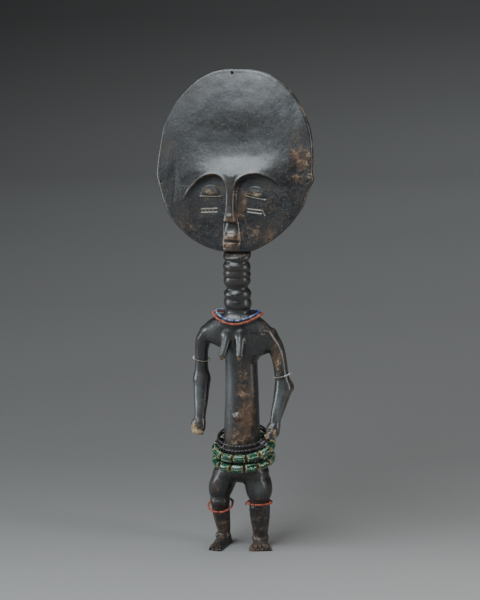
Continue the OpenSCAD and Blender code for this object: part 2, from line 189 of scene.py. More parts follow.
def cone(a, b, ra, rb):
    """A rod from a to b with round ends of two radii."""
    a, b = np.array(a, float), np.array(b, float)
    along = b - a

    def field(x, y, z):
        t = ((x - a[0]) * along[0] + (y - a[1]) * along[1] + (z - a[2]) * along[2]) / (along @ along)
        t = np.clip(t, 0, 1)
        return np.sqrt((x - a[0] - t * along[0]) ** 2 + (y - a[1] - t * along[1]) ** 2
                       + (z - a[2] - t * along[2]) ** 2) - (ra + (rb - ra) * t)
    reach = max(ra, rb) + REACH
    return np.minimum(a, b) - reach, np.maximum(a, b) + reach, field


def column(rows, power, wobble=0.0):
    """A limb from upward rows of [height, centre x, centre y, half width, half depth].
    wobble makes its rings run unevenly round it, in millimetres."""
    rows = np.array(rows, float)

    def field(x, y, z):
        if wobble:
            cx, cy = (np.interp(z, rows[:, 0], rows[:, k]) for k in (1, 2))
            turn = np.arctan2(y - cy, x - cx)
            z = z + wobble * (np.sin(turn + 0.23 * z) + 0.6 * np.sin(2 * turn + 1.7 + 0.11 * z)
                              + 0.35 * np.sin(5 * turn + 0.5 * z))
        cx, cy, rx, ry = (monotone(z, rows[:, 0], rows[:, k]) for k in (1, 2, 3, 4))
        px, py = x - cx + 1e-3, y - cy + 1e-3
        share = (np.abs(px / rx) ** power + np.abs(py / ry) ** power) ** (1 / power)
        r = np.sqrt(px ** 2 + py ** 2)
        side = r - r / share
        over = np.maximum(z - rows[-1, 0], rows[0, 0] - z)
        return np.where(over > 0, np.sqrt(np.maximum(side, 0) ** 2 + over ** 2), side)
    low = [*(rows[:, 1:3] - rows[:, 3:5]).min(0) - REACH - 1, rows[0, 0] - REACH]
    high = [*(rows[:, 1:3] + rows[:, 3:5]).max(0) + REACH + 1, rows[-1, 0] + REACH]
    return low, high, field


# ---- meshes ------------------------------------------------------------------------------------
def new_mesh(name, points, faces, uv=None):
    """points in row metres; faces is a list of index arrays, each with its own corner count."""
    faces = [np.asarray(f, np.int32) for f in faces if len(f)]
    mesh = bpy.data.meshes.new(name)
    corners = np.concatenate([f.ravel() for f in faces])
    sizes = np.concatenate([np.full(len(f), f.shape[1], np.int32) for f in faces])
    mesh.vertices.add(len(points))
    mesh.vertices.foreach_set("co", np.asarray(points, np.float32).ravel())
    mesh.loops.add(len(corners))
    mesh.loops.foreach_set("vertex_index", corners)
    mesh.polygons.add(len(sizes))
    mesh.polygons.foreach_set("loop_start", np.concatenate([[0], np.cumsum(sizes)[:-1]]).astype(np.int32))
    mesh.update(calc_edges=True)
    mesh.validate()
    mesh.polygons.foreach_set("use_smooth", np.ones(len(mesh.polygons), bool))
    if uv is not None:
        layer = mesh.uv_layers.new(name="UVMap")
        layer.data.foreach_set("uv", np.asarray(uv, np.float32)[corners].ravel())
    return mesh


def set_marks(mesh, **marks):
    for name, values in marks.items():
        layer = mesh.attributes.get(name) or mesh.attributes.new(name, "FLOAT", "POINT")
        layer.data.foreach_set("value", np.asarray(values, np.float32))


def place(name, mesh, material, body, nodes):
    piece = bpy.data.objects.new(name, mesh)
    bpy.context.scene.collection.objects.link(piece)
    mesh.materials.append(material)
    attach(piece, body)
    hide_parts(*nodes)
    return piece


def row_frame(points):
    return (np.asarray(points, float) + CENTRING) * MM


def outward(points, faces):
    """The same faces, turned over if they face inwards."""
    volume = 0.0
    for f in faces:
        for k in range(2, f.shape[1]):
            a, b, c = points[f[:, 0]], points[f[:, k - 1]], points[f[:, k]]
            volume += np.einsum("ij,ij->i", a, np.cross(b, c)).sum()
    return faces if volume > 0 else [f[:, ::-1] for f in faces]


# ---- materials -----------------------------------------------------------------------------------
class Finish:
    """A small helper to write a material's node graph."""

    def __init__(self, name):
        self.material = bpy.data.materials.new(name)
        self.material.use_nodes = True
        self.tree = self.material.node_tree
        self.tree.nodes.clear()
        self.out = self.tree.nodes.new("ShaderNodeOutputMaterial")
        self.coords = self.tree.nodes.new("ShaderNodeTexCoord")

    def put(self, kind, inputs=None, **settings):
        node = self.tree.nodes.new(kind)
        for key, value in settings.items():
            setattr(node, key, value)
        for key, value in (inputs or {}).items():
            socket = node.inputs[key]
            if isinstance(value, bpy.types.NodeSocket):
                self.tree.links.new(value, socket)
            else:
                socket.default_value = value
        return node

    def mark(self, name):
        return self.put("ShaderNodeAttribute", attribute_name=name).outputs["Fac"]

    def noise(self, scale, detail=4.0, rough=0.55, stretch=None, warp=0.0):
        at = self.coords.outputs["Object"]
        if stretch:
            at = self.put("ShaderNodeMapping", {"Vector": at, "Scale": stretch}).outputs[0]
        return self.put("ShaderNodeTexNoise", {"Vector": at, "Scale": scale, "Detail": detail,
                                               "Roughness": rough, "Distortion": warp}).outputs["Fac"]

    def sum(self, a, b, clamp=False):
        return self.put("ShaderNodeMath", {0: a, 1: b}, operation="ADD", use_clamp=clamp).outputs[0]

    def times(self, a, b):
        return self.put("ShaderNodeMath", {0: a, 1: b}, operation="MULTIPLY").outputs[0]

    def span(self, value, low, high, to_low=0.0, to_high=1.0):
        return self.put("ShaderNodeMapRange", {"Value": value, "From Min": low, "From Max": high,
                                               "To Min": to_low, "To Max": to_high}).outputs[0]

    def ramp(self, value, stops):
        node = self.put("ShaderNodeValToRGB", {"Fac": value})
        points = node.color_ramp.elements
        while len(points) < len(stops):
            points.new(0.5)
        for point, (at, colour) in zip(points, stops):
            point.position = at
            point.color = (*colour, 1)
        return node.outputs["Color"]

    def mix(self, share, a, b):
        node = self.put("ShaderNodeMix", data_type="RGBA")
        for socket, value in ((node.inputs[0], share), (node.inputs[6], a), (node.inputs[7], b)):
            if isinstance(value, bpy.types.NodeSocket):
                self.tree.links.new(value, socket)
            else:
                socket.default_value = value if isinstance(value, float) else (*value, 1)
        return node.outputs[2]

    def bump(self, height, strength, depth, under=None):
        inputs = {"Height": height, "Strength": strength, "Distance": depth}
        if under is not None:
            inputs["Normal"] = under
        return self.put("ShaderNodeBump", inputs).outputs["Normal"]

    def surface(self, **inputs):
        shader = self.put("ShaderNodeBsdfPrincipled", {k.replace("_", " "): v for k, v in inputs.items()})
        self.tree.links.new(shader.outputs[0], self.out.inputs["Surface"])
        return self.material


def wood():
    f = Finish("old_dark_wood")
    wear, bare, rise, line, polish, dust = map(f.mark, ("wear", "bare", "rise", "line", "polish", "dust"))
    broad = f.noise(55, 4, 0.6)
    patch = f.noise(210, 5, 0.62, warp=0.6)
    speck = f.noise(900, 3, 0.7)
    fibre = f.noise(700, 3, 0.6, stretch=(1, 1, 0.09))
    base = f.ramp(f.span(broad, 0.3, 0.72), [(0, (0.008, 0.0095, 0.0115)), (0.5, (0.014, 0.0142, 0.0155)),
                                             (1, (0.032, 0.023, 0.017))])
    base = f.mix(f.span(fibre, 0.52, 0.7, 0, 0.35), base, (0.055, 0.034, 0.02))
    # Painted sheen, partly dusty grey: a grey-blue colour in broken patches stands in for highlights on the
    # forearms, torso, breasts, thighs and the disc's upper half, and is a dusty film on the chest shelf.
    base = f.mix(f.times(dust, f.span(patch, 0.3, 0.7, 0.6, 1.0)), base, (0.085, 0.094, 0.098))
    # Handling has rubbed the raised places: brown first, then bare wood, always in broken patches.
    broken = f.sum(f.times(f.span(patch, 0.28, 0.74), 0.62), f.times(f.span(speck, 0.3, 0.7), 0.38))
    broken = f.sum(broken, -0.5)
    rubbed = f.sum(wear, f.span(rise, 0.15, 1.0, 0, 0.34))
    brown = f.sum(rubbed, broken, clamp=True)
    colour = f.mix(f.span(brown, 0.25, 0.8), base,
                   f.ramp(f.span(patch, 0.3, 0.7), [(0, (0.045, 0.019, 0.01)), (0.55, (0.11, 0.055, 0.027)),
                                                    (1, (0.22, 0.15, 0.088))]))
    pale = f.sum(bare, f.times(broken, 0.9), clamp=True)
    colour = f.mix(f.span(pale, 0.3, 0.78), colour,
                   f.ramp(f.span(speck, 0.3, 0.7), [(0, (0.2, 0.105, 0.05)), (0.5, (0.44, 0.29, 0.15)),
                                                    (1, (0.68, 0.54, 0.37))]))
    colour = f.mix(f.span(line, 0.2, 0.8), colour, (0.5, 0.41, 0.27))
    # Soot and old oil stay in the hollows.
    colour = f.mix(f.span(rise, -1.0, -0.15, 0.8, 0.0), colour, (0.006, 0.005, 0.0045))
    flecks = f.ramp(f.noise(850, 3, 0.6), [(0.63, (0, 0, 0)), (0.7, (1, 1, 1))])
    colour = f.mix(f.times(flecks, 0.5), colour, (0.3, 0.24, 0.17))
    gloss = f.sum(f.span(patch, 0.25, 0.75, 0.36, 0.5), f.span(pale, 0.3, 0.9, 0, 0.16))
    gloss = f.sum(gloss, f.span(speck, 0.35, 0.7, -0.05, 0.09))
    gloss = f.sum(gloss, f.span(broad, 0.35, 0.65, -0.08, 0.12))
    coat = f.times(polish, f.span(pale, 0.25, 0.7, 1, 0.15))
    normal = f.bump(speck, 0.35, 0.00045)
    normal = f.bump(fibre, 0.3, 0.0005, normal)
    normal = f.bump(patch, 0.45, 0.0009, normal)
    pits = f.put("ShaderNodeTexVoronoi", {"Vector": f.coords.outputs["Object"], "Scale": 420.0,
                                          "Randomness": 1.0}).outputs["Distance"]
    normal = f.bump(f.span(pits, 0.0, 0.22), 0.4, 0.0004, normal)
    return f.surface(Base_Color=colour, Roughness=gloss, Normal=normal, IOR=1.55, Coat_Weight=coat,
                     Coat_Roughness=0.22, Specular_IOR_Level=0.42)


def seed_glass(name, dark, light, spread=0.5, gloss=0.3):
    """Small opaque glass beads: tint is one number per bead."""
    f = Finish(name)
    tint = f.mark("tint")
    speck = f.noise(1400, 3, 0.6)
    colour = f.mix(tint, dark, light)
    colour = f.mix(f.span(speck, 0.45, 0.75, 0, spread), colour, tuple(0.35 * c for c in dark))
    rough = f.span(speck, 0.3, 0.7, gloss, gloss + 0.18)
    return f.surface(Base_Color=colour, Roughness=rough, Normal=f.bump(speck, 0.25, 0.0001), IOR=1.5,
                     Coat_Weight=0.3, Coat_Roughness=0.12)


def cane_glass():
    """Striped green cane with worn, chalky ends. The UV runs round the bead and along it."""
    f = Finish("green_cane_glass")
    around, along, _ = f.put("ShaderNodeSeparateXYZ", {0: f.coords.outputs["UV"]}).outputs
    own = f.mark("tint")
    drift = f.span(f.noise(330, 3, 0.6), 0.3, 0.7, -0.045, 0.045)
    turn = f.sum(f.sum(around, drift), f.times(own, 3.7))
    fine = f.put("ShaderNodeTexNoise", {"W": f.times(turn, 13.0), "Scale": 1.0, "Detail": 3.0,
                                        "Roughness": 0.65}, noise_dimensions="1D").outputs["Fac"]
    colour = f.ramp(fine, [(0.3, (0.001, 0.006, 0.006)), (0.42, (0.003, 0.028, 0.016)),
                           (0.52, (0.004, 0.058, 0.028)), (0.585, (0.015, 0.14, 0.07)),
                           (0.625, (0.5, 0.66, 0.46)), (0.68, (0.01, 0.08, 0.042))])
    speck = f.noise(1100, 4, 0.65)
    end = f.sum(f.put("ShaderNodeMath", {0: f.sum(along, -0.5)}, operation="ABSOLUTE").outputs[0],
                f.span(f.noise(300, 3, 0.6), 0.3, 0.7, -0.1, 0.1))
    chalk = f.ramp(speck, [(0.35, (0.12, 0.085, 0.035)), (0.55, (0.42, 0.34, 0.17)),
                           (0.7, (0.66, 0.58, 0.4))])
    colour = f.mix(f.span(end, 0.42, 0.46, 0, 0.85), colour, chalk)
    colour = f.mix(f.span(speck, 0.6, 0.74, 0, 0.4), colour, (0.24, 0.27, 0.15))
    rough = f.sum(f.span(speck, 0.3, 0.7, 0.14, 0.3), f.span(end, 0.4, 0.46, 0, 0.3))
    normal = f.bump(fine, 0.25, 0.0003, f.bump(speck, 0.3, 0.00015))
    return f.surface(Base_Color=colour, Roughness=rough, Normal=normal, IOR=1.5, Coat_Weight=0.4,
                     Coat_Roughness=0.08)


def twine(name, dark, light):
    f = Finish(name)
    fluff = f.noise(2600, 3, 0.7)
    soil = f.noise(260, 3, 0.6)
    colour = f.mix(f.span(fluff, 0.3, 0.7), dark, light)
    colour = f.mix(f.span(soil, 0.5, 0.75, 0, 0.6), colour, tuple(0.3 * c for c in dark))
    return f.surface(Base_Color=colour, Roughness=f.span(fluff, 0.3, 0.7, 0.75, 0.95),
                     Normal=f.bump(fluff, 0.5, 0.00012), Sheen_Weight=0.25, Sheen_Roughness=0.5)


WOOD = wood()


# ---- head: a tilted disc in its own plane: u to the figure's left, v up, w out of the face -------
HEAD_H, HEAD_TILT = 143.5, math.radians(10)
HEAD_ORIGIN = np.array([-7.7, -6.6, 380 - HEAD_H * math.cos(HEAD_TILT) - 2.6 * math.sin(HEAD_TILT)])
RIM_HALF, SWELL, RIM_ROUND = 2.6, 3.0, 3.2
FACE_CENTRE = np.array([-2.0, 42.0])
OUTLINE = np.array([
    (-1.5, 143.6), (-12, 143.2), (-21.5, 140.9), (-30.2, 136.4), (-38, 130.6), (-47.3, 120.6),
    (-53.4, 110.6), (-59.2, 97.7), (-61.7, 82), (-63.1, 67.8), (-63.25, 57.5), (-60.8, 49.6), (-56.3, 37),
    (-49.3, 24.4), (-36.2, 11.8), (-23.8, 4.7), (-10.7, 0.6), (2, -0.2), (14.8, 0.6), (24.7, 4.7), (37, 13),
    (47.7, 23.6), (56.7, 37), (59.6, 46), (61.2, 51), (63.2, 55), (64.5, 58.4), (63.7, 62), (63.0, 66.5),
    (63.2, 74), (61.7, 89), (58.2, 102.3), (52, 114.6), (44.4, 125.2), (34.6, 134.2), (22.8, 140.5),
    (10.5, 143.2)])
LEFT_BROW = np.array([
    (-37.5, 40.5), (-35.2, 44.6), (-32, 49), (-27.8, 53.4), (-21.4, 57.8), (-14.8, 59.3), (-9.4, 58.2),
    (-5.8, 54.8), (-3.8, 50.2), (-2.8, 45), (-2.2, 38), (-2.2, 28), (-2.4, 20)])
RIGHT_BROW = np.array([
    (2.6, 20), (2.4, 28), (2.5, 38), (3.0, 45), (4.0, 50.2), (5.8, 54.8), (9.5, 58.2), (14.7, 60.2),
    (21, 60.8), (27.3, 59.3), (33.6, 56.3), (39.6, 51.4), (43.8, 46.8), (47, 42)])


def through(points, steps, closed):
    """Catmull-Rom curve through points."""
    n = len(points)
    out = []
    for i in range(n if closed else n - 1):
        ids = [(i + k) % n if closed else min(max(i + k, 0), n - 1) for k in (-1, 0, 1, 2)]
        a, b, c, d = (points[k] for k in ids)
        for t in np.arange(steps) / steps:
            out.append(0.5 * (2 * b + (c - a) * t + (2 * a - 5 * b + 4 * c - d) * t * t
                              + (3 * b - 3 * c + d - a) * t ** 3))
    return np.array(out if closed else out + [points[-1]])


def distance_to(points, line, closed=False):
    """Distance from each point to a polyline in the plane."""
    ends = np.roll(line, -1, axis=0) if closed else line[1:]
    starts = line if closed else line[:-1]
    best = np.full(len(points), 1e9)
    for a, b in zip(starts, ends):
        ab = b - a
        t = np.clip(((points - a) @ ab) / (ab @ ab + 1e-12), 0, 1)
        best = np.minimum(best, ((points - a - t[:, None] * ab) ** 2).sum(1))
    return np.sqrt(best)


def inside(points, loop):
    hit = np.zeros(len(points), bool)
    for a, b in zip(loop, np.roll(loop, -1, axis=0)):
        crosses = (a[1] > points[:, 1]) != (b[1] > points[:, 1])
        x = a[0] + (points[:, 1] - a[1]) * (b[0] - a[0]) / (b[1] - a[1] + 1e-12)
        hit ^= crosses & (points[:, 0] < x)
    return hit


RIM = through(OUTLINE, 6, True)
BROWS = [through(b, 4, False) for b in (LEFT_BROW, RIGHT_BROW)]
# Each eye socket side of the face lies under its brow curve.
CHEEKS = [np.vstack([BROWS[0], [(-2.4, 4), (-75, 4)]]), np.vstack([BROWS[1], [(85, 4), (2.6, 4)]])]
EYES = [(-17.2, 43.0, 0.02), (19.8, 42.9, -0.17)]


def disc_half(uv):
    """Half thickness of the plain disc: thin at the rim, fuller inwards."""
    inset = distance_to(uv, RIM, True)
    share = np.interp(inset, [0, 1.4, 10, 18, 26, 34, 44], [0, 0, 0.35, 0.62, 0.8, 0.93, 1.0])
    return RIM_HALF + SWELL * share


def face_height(uv):
    """Height of the carved front above the middle plane, and the masks its material needs."""
    u, v = uv[:, 0], uv[:, 1]
    base = disc_half(uv)
    side = np.clip(1 - (np.abs(u - 2) / 49) ** 2.3, 0, 1)
    lean = v - 0.07 * (u - 2) - 0.004 * (u - 2) ** 2 * (v > 50)
    bulge = monotone(lean, [36, 44, 50, 54, 59, 64, 69, 74, 79, 86, 94, 102, 112, 120],
                     [2.2, 3.6, 4.6, 4.8, 4.4, 3.2, 1.8, 0.7, 0.1, -0.35, -0.3, -0.05, 0.1, 0]) * side
    # The bulge is a rounded mound, fuller over the nose than out at the temples.
    bulge = bulge * (0.66 + 0.34 * np.exp(-((u - 2) / 25) ** 2))
    plane = base + bulge
    # The two cheeks sink below their brow curves and rise again towards the jaw.
    sink = np.zeros(len(u))
    lip = np.zeros(len(u))
    for cheek, brow in zip(CHEEKS, BROWS):
        gap = distance_to(uv, brow)
        signed = np.where(inside(uv, cheek), gap, -gap)
        under = smoothstep(-0.45, 0.75, signed)
        sink = np.maximum(sink, under)
        foot = smoothstep(30, 46, v) * np.clip(1 - (np.abs(u - 3) / 47) ** 7, 0, 1)
        lip = np.maximum(lip, np.exp(-((signed + 0.9) / 0.7) ** 2) * foot)
    outer = smoothstep(44, 30, np.abs(u - 5))
    depth = monotone(v, [4, 10, 20, 34, 44, 52, 60, 63], [0.1, 0.6, 1.2, 1.45, 1.5, 1.6, 1.6, 1.6])
    depth = depth * (0.08 + 0.92 * outer)
    cheek_level = base - depth + 0.15
    # Brows and bulge only reach as low as the eyes; below, the whole face is cheek level.
    low = smoothstep(46, 30, v)
    plane = plane * (1 - low) + cheek_level * low
    w = plane * (1 - sink) + cheek_level * sink + 0.4 * lip
    # Nose: a narrow ridge that widens to a tip cut off flat below.
    middle = np.interp(v, [22, 34, 60], [0.2, -0.1, 0.1])
    half = monotone(v, [21.4, 23.9, 26.9, 30.2, 36, 43, 50, 58, 66],
                    [5.5, 5.6, 5.2, 4.4, 4.0, 4.0, 4.6, 6.2, 9])
    high = monotone(v, [21.4, 23.9, 26.9, 30.2, 36, 43, 50, 58, 64, 70],
                    [6.0, 6.2, 6.2, 5.6, 5.2, 5.4, 5.9, 5.9, 5.2, 3.0])
    across = np.clip(np.abs(u - middle) / half, 0, 1)
    nose = high * (1 - across ** 4.5) ** 0.7 * smoothstep(22.5, 23.5, v) * smoothstep(70, 58, v)
    w = soft_max(w, np.where((across < 1) & (v < 70), base - 0.6 * depth + nose, w - 2), 0.5)
    # Mouth block: philtrum, two lips with a slit between them, and the chin under them.
    across = np.clip(np.abs(u - 1.8) / monotone(v, [0, 2, 7.5, 13.5, 22], [4.6, 6.2, 7.0, 6.4, 4.8]), 0, 1)
    block = monotone(v, [1.0, 2.4, 4.2, 6.0, 7.0, 7.7, 8.4, 9.3, 10.9, 13.0, 15.0, 18.0, 23],
                     [0.2, 2.0, 3.3, 3.7, 3.3, 1.7, 1.8, 3.9, 4.3, 3.8, 2.4, 1.6, 1.2])
    slit = smoothstep(0.95, 0.8, across)
    block = np.where((v > 6.8) & (v < 9.4), block * slit + 3.3 * (1 - slit), block)
    block = base - 0.4 + block * (1 - across ** 2.4) ** 0.6
    w = soft_max(w, np.where((across < 1) & (v < 23) & (v > 1), block, w - 2), 0.4)
    line = np.zeros(len(u))
    for cu, cv, slope in EYES:
        x = (u - cu) / 8.1
        up = v - (cv + slope * (u - cu))
        arch = 7.3 * np.clip(1 - np.abs(x) ** 2.2, 0, 1) ** 0.75
        lid = np.clip(1 - ((up - 0.42 * arch - 0.7) / np.maximum(0.62 * arch, 0.3)) ** 2, 0, 1) ** 0.5
        lid = lid * smoothstep(0.45, 1.0, up) * (np.abs(x) < 1)
        w = w + 0.85 * lid ** 0.8 * np.clip(1 - np.abs(x) ** 4, 0, 1)
        w = w + 0.45 * np.exp(-((up - 1.06 * arch) / 0.5) ** 2) * smoothstep(1.1, 0.9, np.abs(x))
        w = w - 0.55 * np.exp(-((up - 0.65) / 0.42) ** 2) * smoothstep(0.95, 0.6, np.abs(x))
        rail = np.exp(-((up + 0.35) / 0.5) ** 2) * smoothstep(1.14, 1.0, np.abs(x))
        w = w + 0.75 * rail
        line = np.maximum(line, 0.42 * rail)
    # Cheek marks: two cut lines each side, with rungs on one and a hook on the other.
    marks = [((-24.4, 33.1), (-11.3, 34.0)), ((-24.4, 30.3), (-11.3, 31.2))]
    marks += [((-24.0 + 2.9 * k, 30.5 + 0.2 * k), (-23.7 + 2.9 * k, 33.2 + 0.2 * k)) for k in range(4)]
    marks += [((13.4, 34.5), (24.9, 33.6)), ((13.4, 32.0), (24.5, 31.1)), ((24.9, 33.6), (27.2, 29.8))]
    for k, (a, b) in enumerate(marks):
        gap = distance_to(uv, np.array([a, b]))
        weight = 0.6 if 2 <= k <= 5 else 1.0
        w = w - 0.5 * weight * np.exp(-(gap / 0.42) ** 2)
        line = np.maximum(line, 0.8 * weight * np.exp(-(gap / 0.46) ** 2))
    return w, line


def back_height(uv):
    u, v = uv[:, 0], uv[:, 1]
    ridge = 1.3 * np.exp(-((u + 2) / 5.5) ** 2) * smoothstep(104, 30, v)
    return -(disc_half(uv) + ridge)


def head_to_design(uvw):
    u, v, w = uvw.T
    c, s = math.cos(HEAD_TILT), math.sin(HEAD_TILT)
    return HEAD_ORIGIN + np.stack([u, v * s - w * c, v * c + w * s], 1)


def sculpt_head():
    angles = 448
    front_rings, rim_rings, back_rings = ((122, 13, 44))
    turn = 2 * np.pi * np.arange(angles) / angles
    ray = np.stack([np.cos(turn), np.sin(turn)], 1)
    dense = through(OUTLINE, 24, True) - FACE_CENTRE
    bearing = np.arctan2(dense[:, 1], dense[:, 0]) % (2 * np.pi)
    order = np.argsort(bearing)
    reach = np.interp(turn, bearing[order], np.linalg.norm(dense, axis=1)[order], period=2 * np.pi)
    inner = (reach - RIM_ROUND) / reach

    def disc_points(rings):
        share = (np.arange(1, rings + 1) / rings)[:, None] * inner[None, :]
        flat = FACE_CENTRE + (share * reach)[:, :, None] * ray[None]
        return np.vstack([FACE_CENTRE[None], flat.reshape(-1, 2)])

    front, back = disc_points(front_rings), disc_points(back_rings)
    front_w, _ = face_height(front)
    back_w = back_height(back)
    edge_f, edge_b = front_w[-angles:], back_w[-angles:]
    rim = []
    for k in range(1, rim_rings + 1):
        phi = math.pi * k / (rim_rings + 1)
        out = abs(math.sin(phi)) ** (2 / 2.7)
        lift = math.copysign(abs(math.cos(phi)) ** (2 / 2.7), math.cos(phi))
        flat = FACE_CENTRE + (reach - RIM_ROUND * (1 - out))[:, None] * ray
        rim.append(np.column_stack([flat, np.where(lift > 0, edge_f * lift, -edge_b * lift)]))
    points = np.vstack([np.column_stack([front, front_w]), *rim, np.column_stack([back, back_w])])
    faces_q, faces_t = [], []
    i = np.arange(angles)
    j = (i + 1) % angles

    def strip(a, b):
        faces_q.append(np.stack([a + i, b + i, b + j, a + j], 1))

    start = 1
    faces_t.append(np.stack([np.zeros(angles, int), start + i, start + j], 1))
    rows = [start + k * angles for k in range(front_rings)]
    rows += [len(front) + k * angles for k in range(rim_rings)]
    back_start = len(front) + rim_rings * angles
    back_rows = [back_start + 1 + k * angles for k in range(back_rings)]
    rows += back_rows[::-1]
    for a, b in zip(rows, rows[1:]):
        strip(a, b)
    faces_t.append(np.stack([np.full(angles, back_start), back_rows[0] + j, back_rows[0] + i], 1))
    return points, [np.vstack(faces_t), np.vstack(faces_q)]


HOLE_SIDES, HOLE_REACH = 28, 14


def pierce(mesh, holes):
    """Cuts round holes straight through the disc."""
    cutters, n = [], HOLE_SIDES
    for (u, v), r in holes:
        k = np.arange(n)
        turn = 2 * np.pi * k / n
        ring = np.column_stack([u + r * np.cos(turn), v + r * np.sin(turn), np.full(n, HOLE_REACH)])
        points = np.vstack([ring * (1, 1, -1), ring])
        sides = np.stack([k, (k + 1) % n, (k + 1) % n + n, k + n], 1)
        cutters.append((points, [sides, k[::-1][None], (k + n)[None]]))
    points = np.vstack([c[0] for c in cutters])
    faces = []
    for index, (_, parts) in enumerate(cutters):
        faces += [p + 2 * n * index for p in parts]
    tool = bpy.data.objects.new("hole_tool", new_mesh("hole_tool", row_frame(head_to_design(points)), faces))
    work = bpy.data.objects.new("head_work", mesh)
    for o in (tool, work):
        bpy.context.scene.collection.objects.link(o)
    cut = work.modifiers.new("holes", "BOOLEAN")
    cut.operation, cut.object, cut.solver = "DIFFERENCE", tool, "EXACT"
    result = bpy.data.meshes.new_from_object(work.evaluated_get(bpy.context.evaluated_depsgraph_get()))
    for o in (work, tool):
        bpy.data.objects.remove(o)
    return result


def mesh_points(mesh):
    co = np.empty(len(mesh.vertices) * 3, np.float32)
    mesh.vertices.foreach_get("co", co)
    return co.reshape(-1, 3).astype(float)


def glow(p, at, radii, strength=1.0):
    """A soft spot of wear: strongest at a point and fading over radii."""
    return strength * np.exp(-(((p - np.array(at)) / np.array(radii)) ** 2).sum(1))


HEAD_WEAR = [
    ((9, 38, 6), (5.5, 16, 9), 0.7), ((1.8, 8, 7), (8, 10, 9), 0.85), ((27, 14, 4), (18, 10, 9), 0.5),
    ((54, 70, 3), (9, 17, 9), 0.75), ((48, 82, 4), (8, 6, 9), 0.55), ((-16, 59.4, 7), (6, 2.2, 9), 0.7),
    ((-37, 18, 3), (14, 10, 9), 0.42), ((-17, 40, 4), (14, 12, 9), 0.2), ((37, 34, 4), (9, 16, 9), 0.28),
    ((0.2, 26, 9), (6, 3.4, 6), 0.6), ((17, 60.5, 7), (9, 2, 9), 0.5), ((3, 6, -6), (20, 12, 6), 0.45),
    ((-30, 90, -6), (22, 30, 5), 0.3), ((28, 60, -6), (20, 30, 5), 0.3), ((12, 120, 5), (24, 14, 9), 0.2)]
HEAD_BARE = [
    ((1.8, 10.5, 8), (6, 5, 9), 0.42), ((1.8, 4, 8), (5, 3, 9), 0.35), ((9.5, 30, 5), (3.4, 7, 9), 0.3),
    ((60, 68, 1.5), (3.2, 18, 6), 0.4), ((52, 80, 3), (7, 4, 9), 0.26),
    ((0.2, 25.4, 11), (4.5, 2.2, 4), 0.32), ((27, 10, 4), (16, 6, 9), 0.22), ((-61, 54, 0), (3, 7, 6), 0.4),
    ((52, 112, 0), (10, 10, 5), 0.25), ((-17.2, 46.0, 6), (6.5, 2.6, 9), 0.6),
    ((19.8, 45.6, 6), (6.5, 2.6, 9), 0.6)]
HOLES = [((-4.5, 139.7), 1.0), ((60.6, 57.0), 1.1), ((-58.8, 53.0), 1.1)]


def carve_head():
    points, faces = sculpt_head()
    points = head_to_design(points)
    mesh = pierce(new_mesh("carved_figure_head", row_frame(points), outward(points, faces)), HOLES)
    design = mesh_points(mesh) / MM - CENTRING
    local = design - HEAD_ORIGIN
    c, s = math.cos(HEAD_TILT), math.sin(HEAD_TILT)
    uvw = np.stack([local[:, 0], local[:, 1] * s + local[:, 2] * c, -local[:, 1] * c + local[:, 2] * s], 1)
    uv, w = uvw[:, :2], uvw[:, 2]
    reach = 0.7
    steps = reach * np.array([(1, 0), (-1, 0), (0, 1), (0, -1)])
    around = [face_height(uv + step)[0] for step in steps]
    here, line = face_height(uv)
    inset = distance_to(uv, RIM, True)
    front = smoothstep(0.0, 1.5, w) * smoothstep(1.0, 4.5, inset)
    rise = -(sum(around) - 4 * here) / reach ** 2 * 0.55 * front
    edge = smoothstep(3.2, 0.6, inset) * smoothstep(3.2, 1.2, np.abs(w))
    rise = np.clip(rise + edge * (0.45 + 0.5 * noise(uvw, 9, 3, 2)), -1, 1)
    mottle = noise(uvw, (13, 9, 30), 5, 3)
    wear = sum(glow(uvw, *spot) for spot in HEAD_WEAR) * (0.8 + 0.45 * mottle) + 0.1 * mottle
    bare = sum(glow(uvw, *spot) for spot in HEAD_BARE) * (0.85 + 0.4 * noise(uvw, 5, 8, 2))
    bare = bare + edge * np.clip(0.22 + 0.5 * noise(uvw, 11, 9, 3), 0, 0.6) * smoothstep(-70, 40, uvw[:, 0])
    # Shallow tool facets and rubbed hollows over the whole disc.
    facets = 0.16 * noise(uvw, (8, 15, 40), 11, 2) + 0.05 * noise(uvw, (2.6, 3.4, 9), 17, 2)
    quiet = smoothstep(0.3, 2.2, inset)
    shift = facets * quiet * np.where(w > 0, 1, -1.6) * smoothstep(0.4, 1.6, np.abs(w))
    near_hole = np.min([np.hypot(uv[:, 0] - u, uv[:, 1] - v) for (u, v), _ in HOLES], 0)
    shift = shift * smoothstep(1.3, 3, near_hole)
    uvw[:, 2] += shift
    mesh.vertices.foreach_set("co", row_frame(head_to_design(uvw)).astype(np.float32).ravel())
    mesh.update()
    mesh.polygons.foreach_set("use_smooth", np.ones(len(mesh.polygons), bool))
    polish = np.clip(0.85 + 0.5 * noise(uvw, (18, 12, 40), 41, 3), 0.4, 1)
    # Painted sheen: grey-blue colour in broken patches over the disc's upper half stands in for the soft
    # highlight that the overhead light leaves there.
    dust = np.clip(0.2 + 0.7 * noise(uvw, (16, 10, 40), 43, 4), 0, 0.5) * smoothstep(60, 100, uvw[:, 1])
    set_marks(mesh, wear=np.clip(wear, 0, 1), bare=np.clip(bare, 0, 1), rise=rise, line=line * (w > 1),
              polish=polish, dust=dust)
    mesh.materials.clear()
    return place("carved_figure_head", mesh, WOOD, "figure", ["carved_figure"])


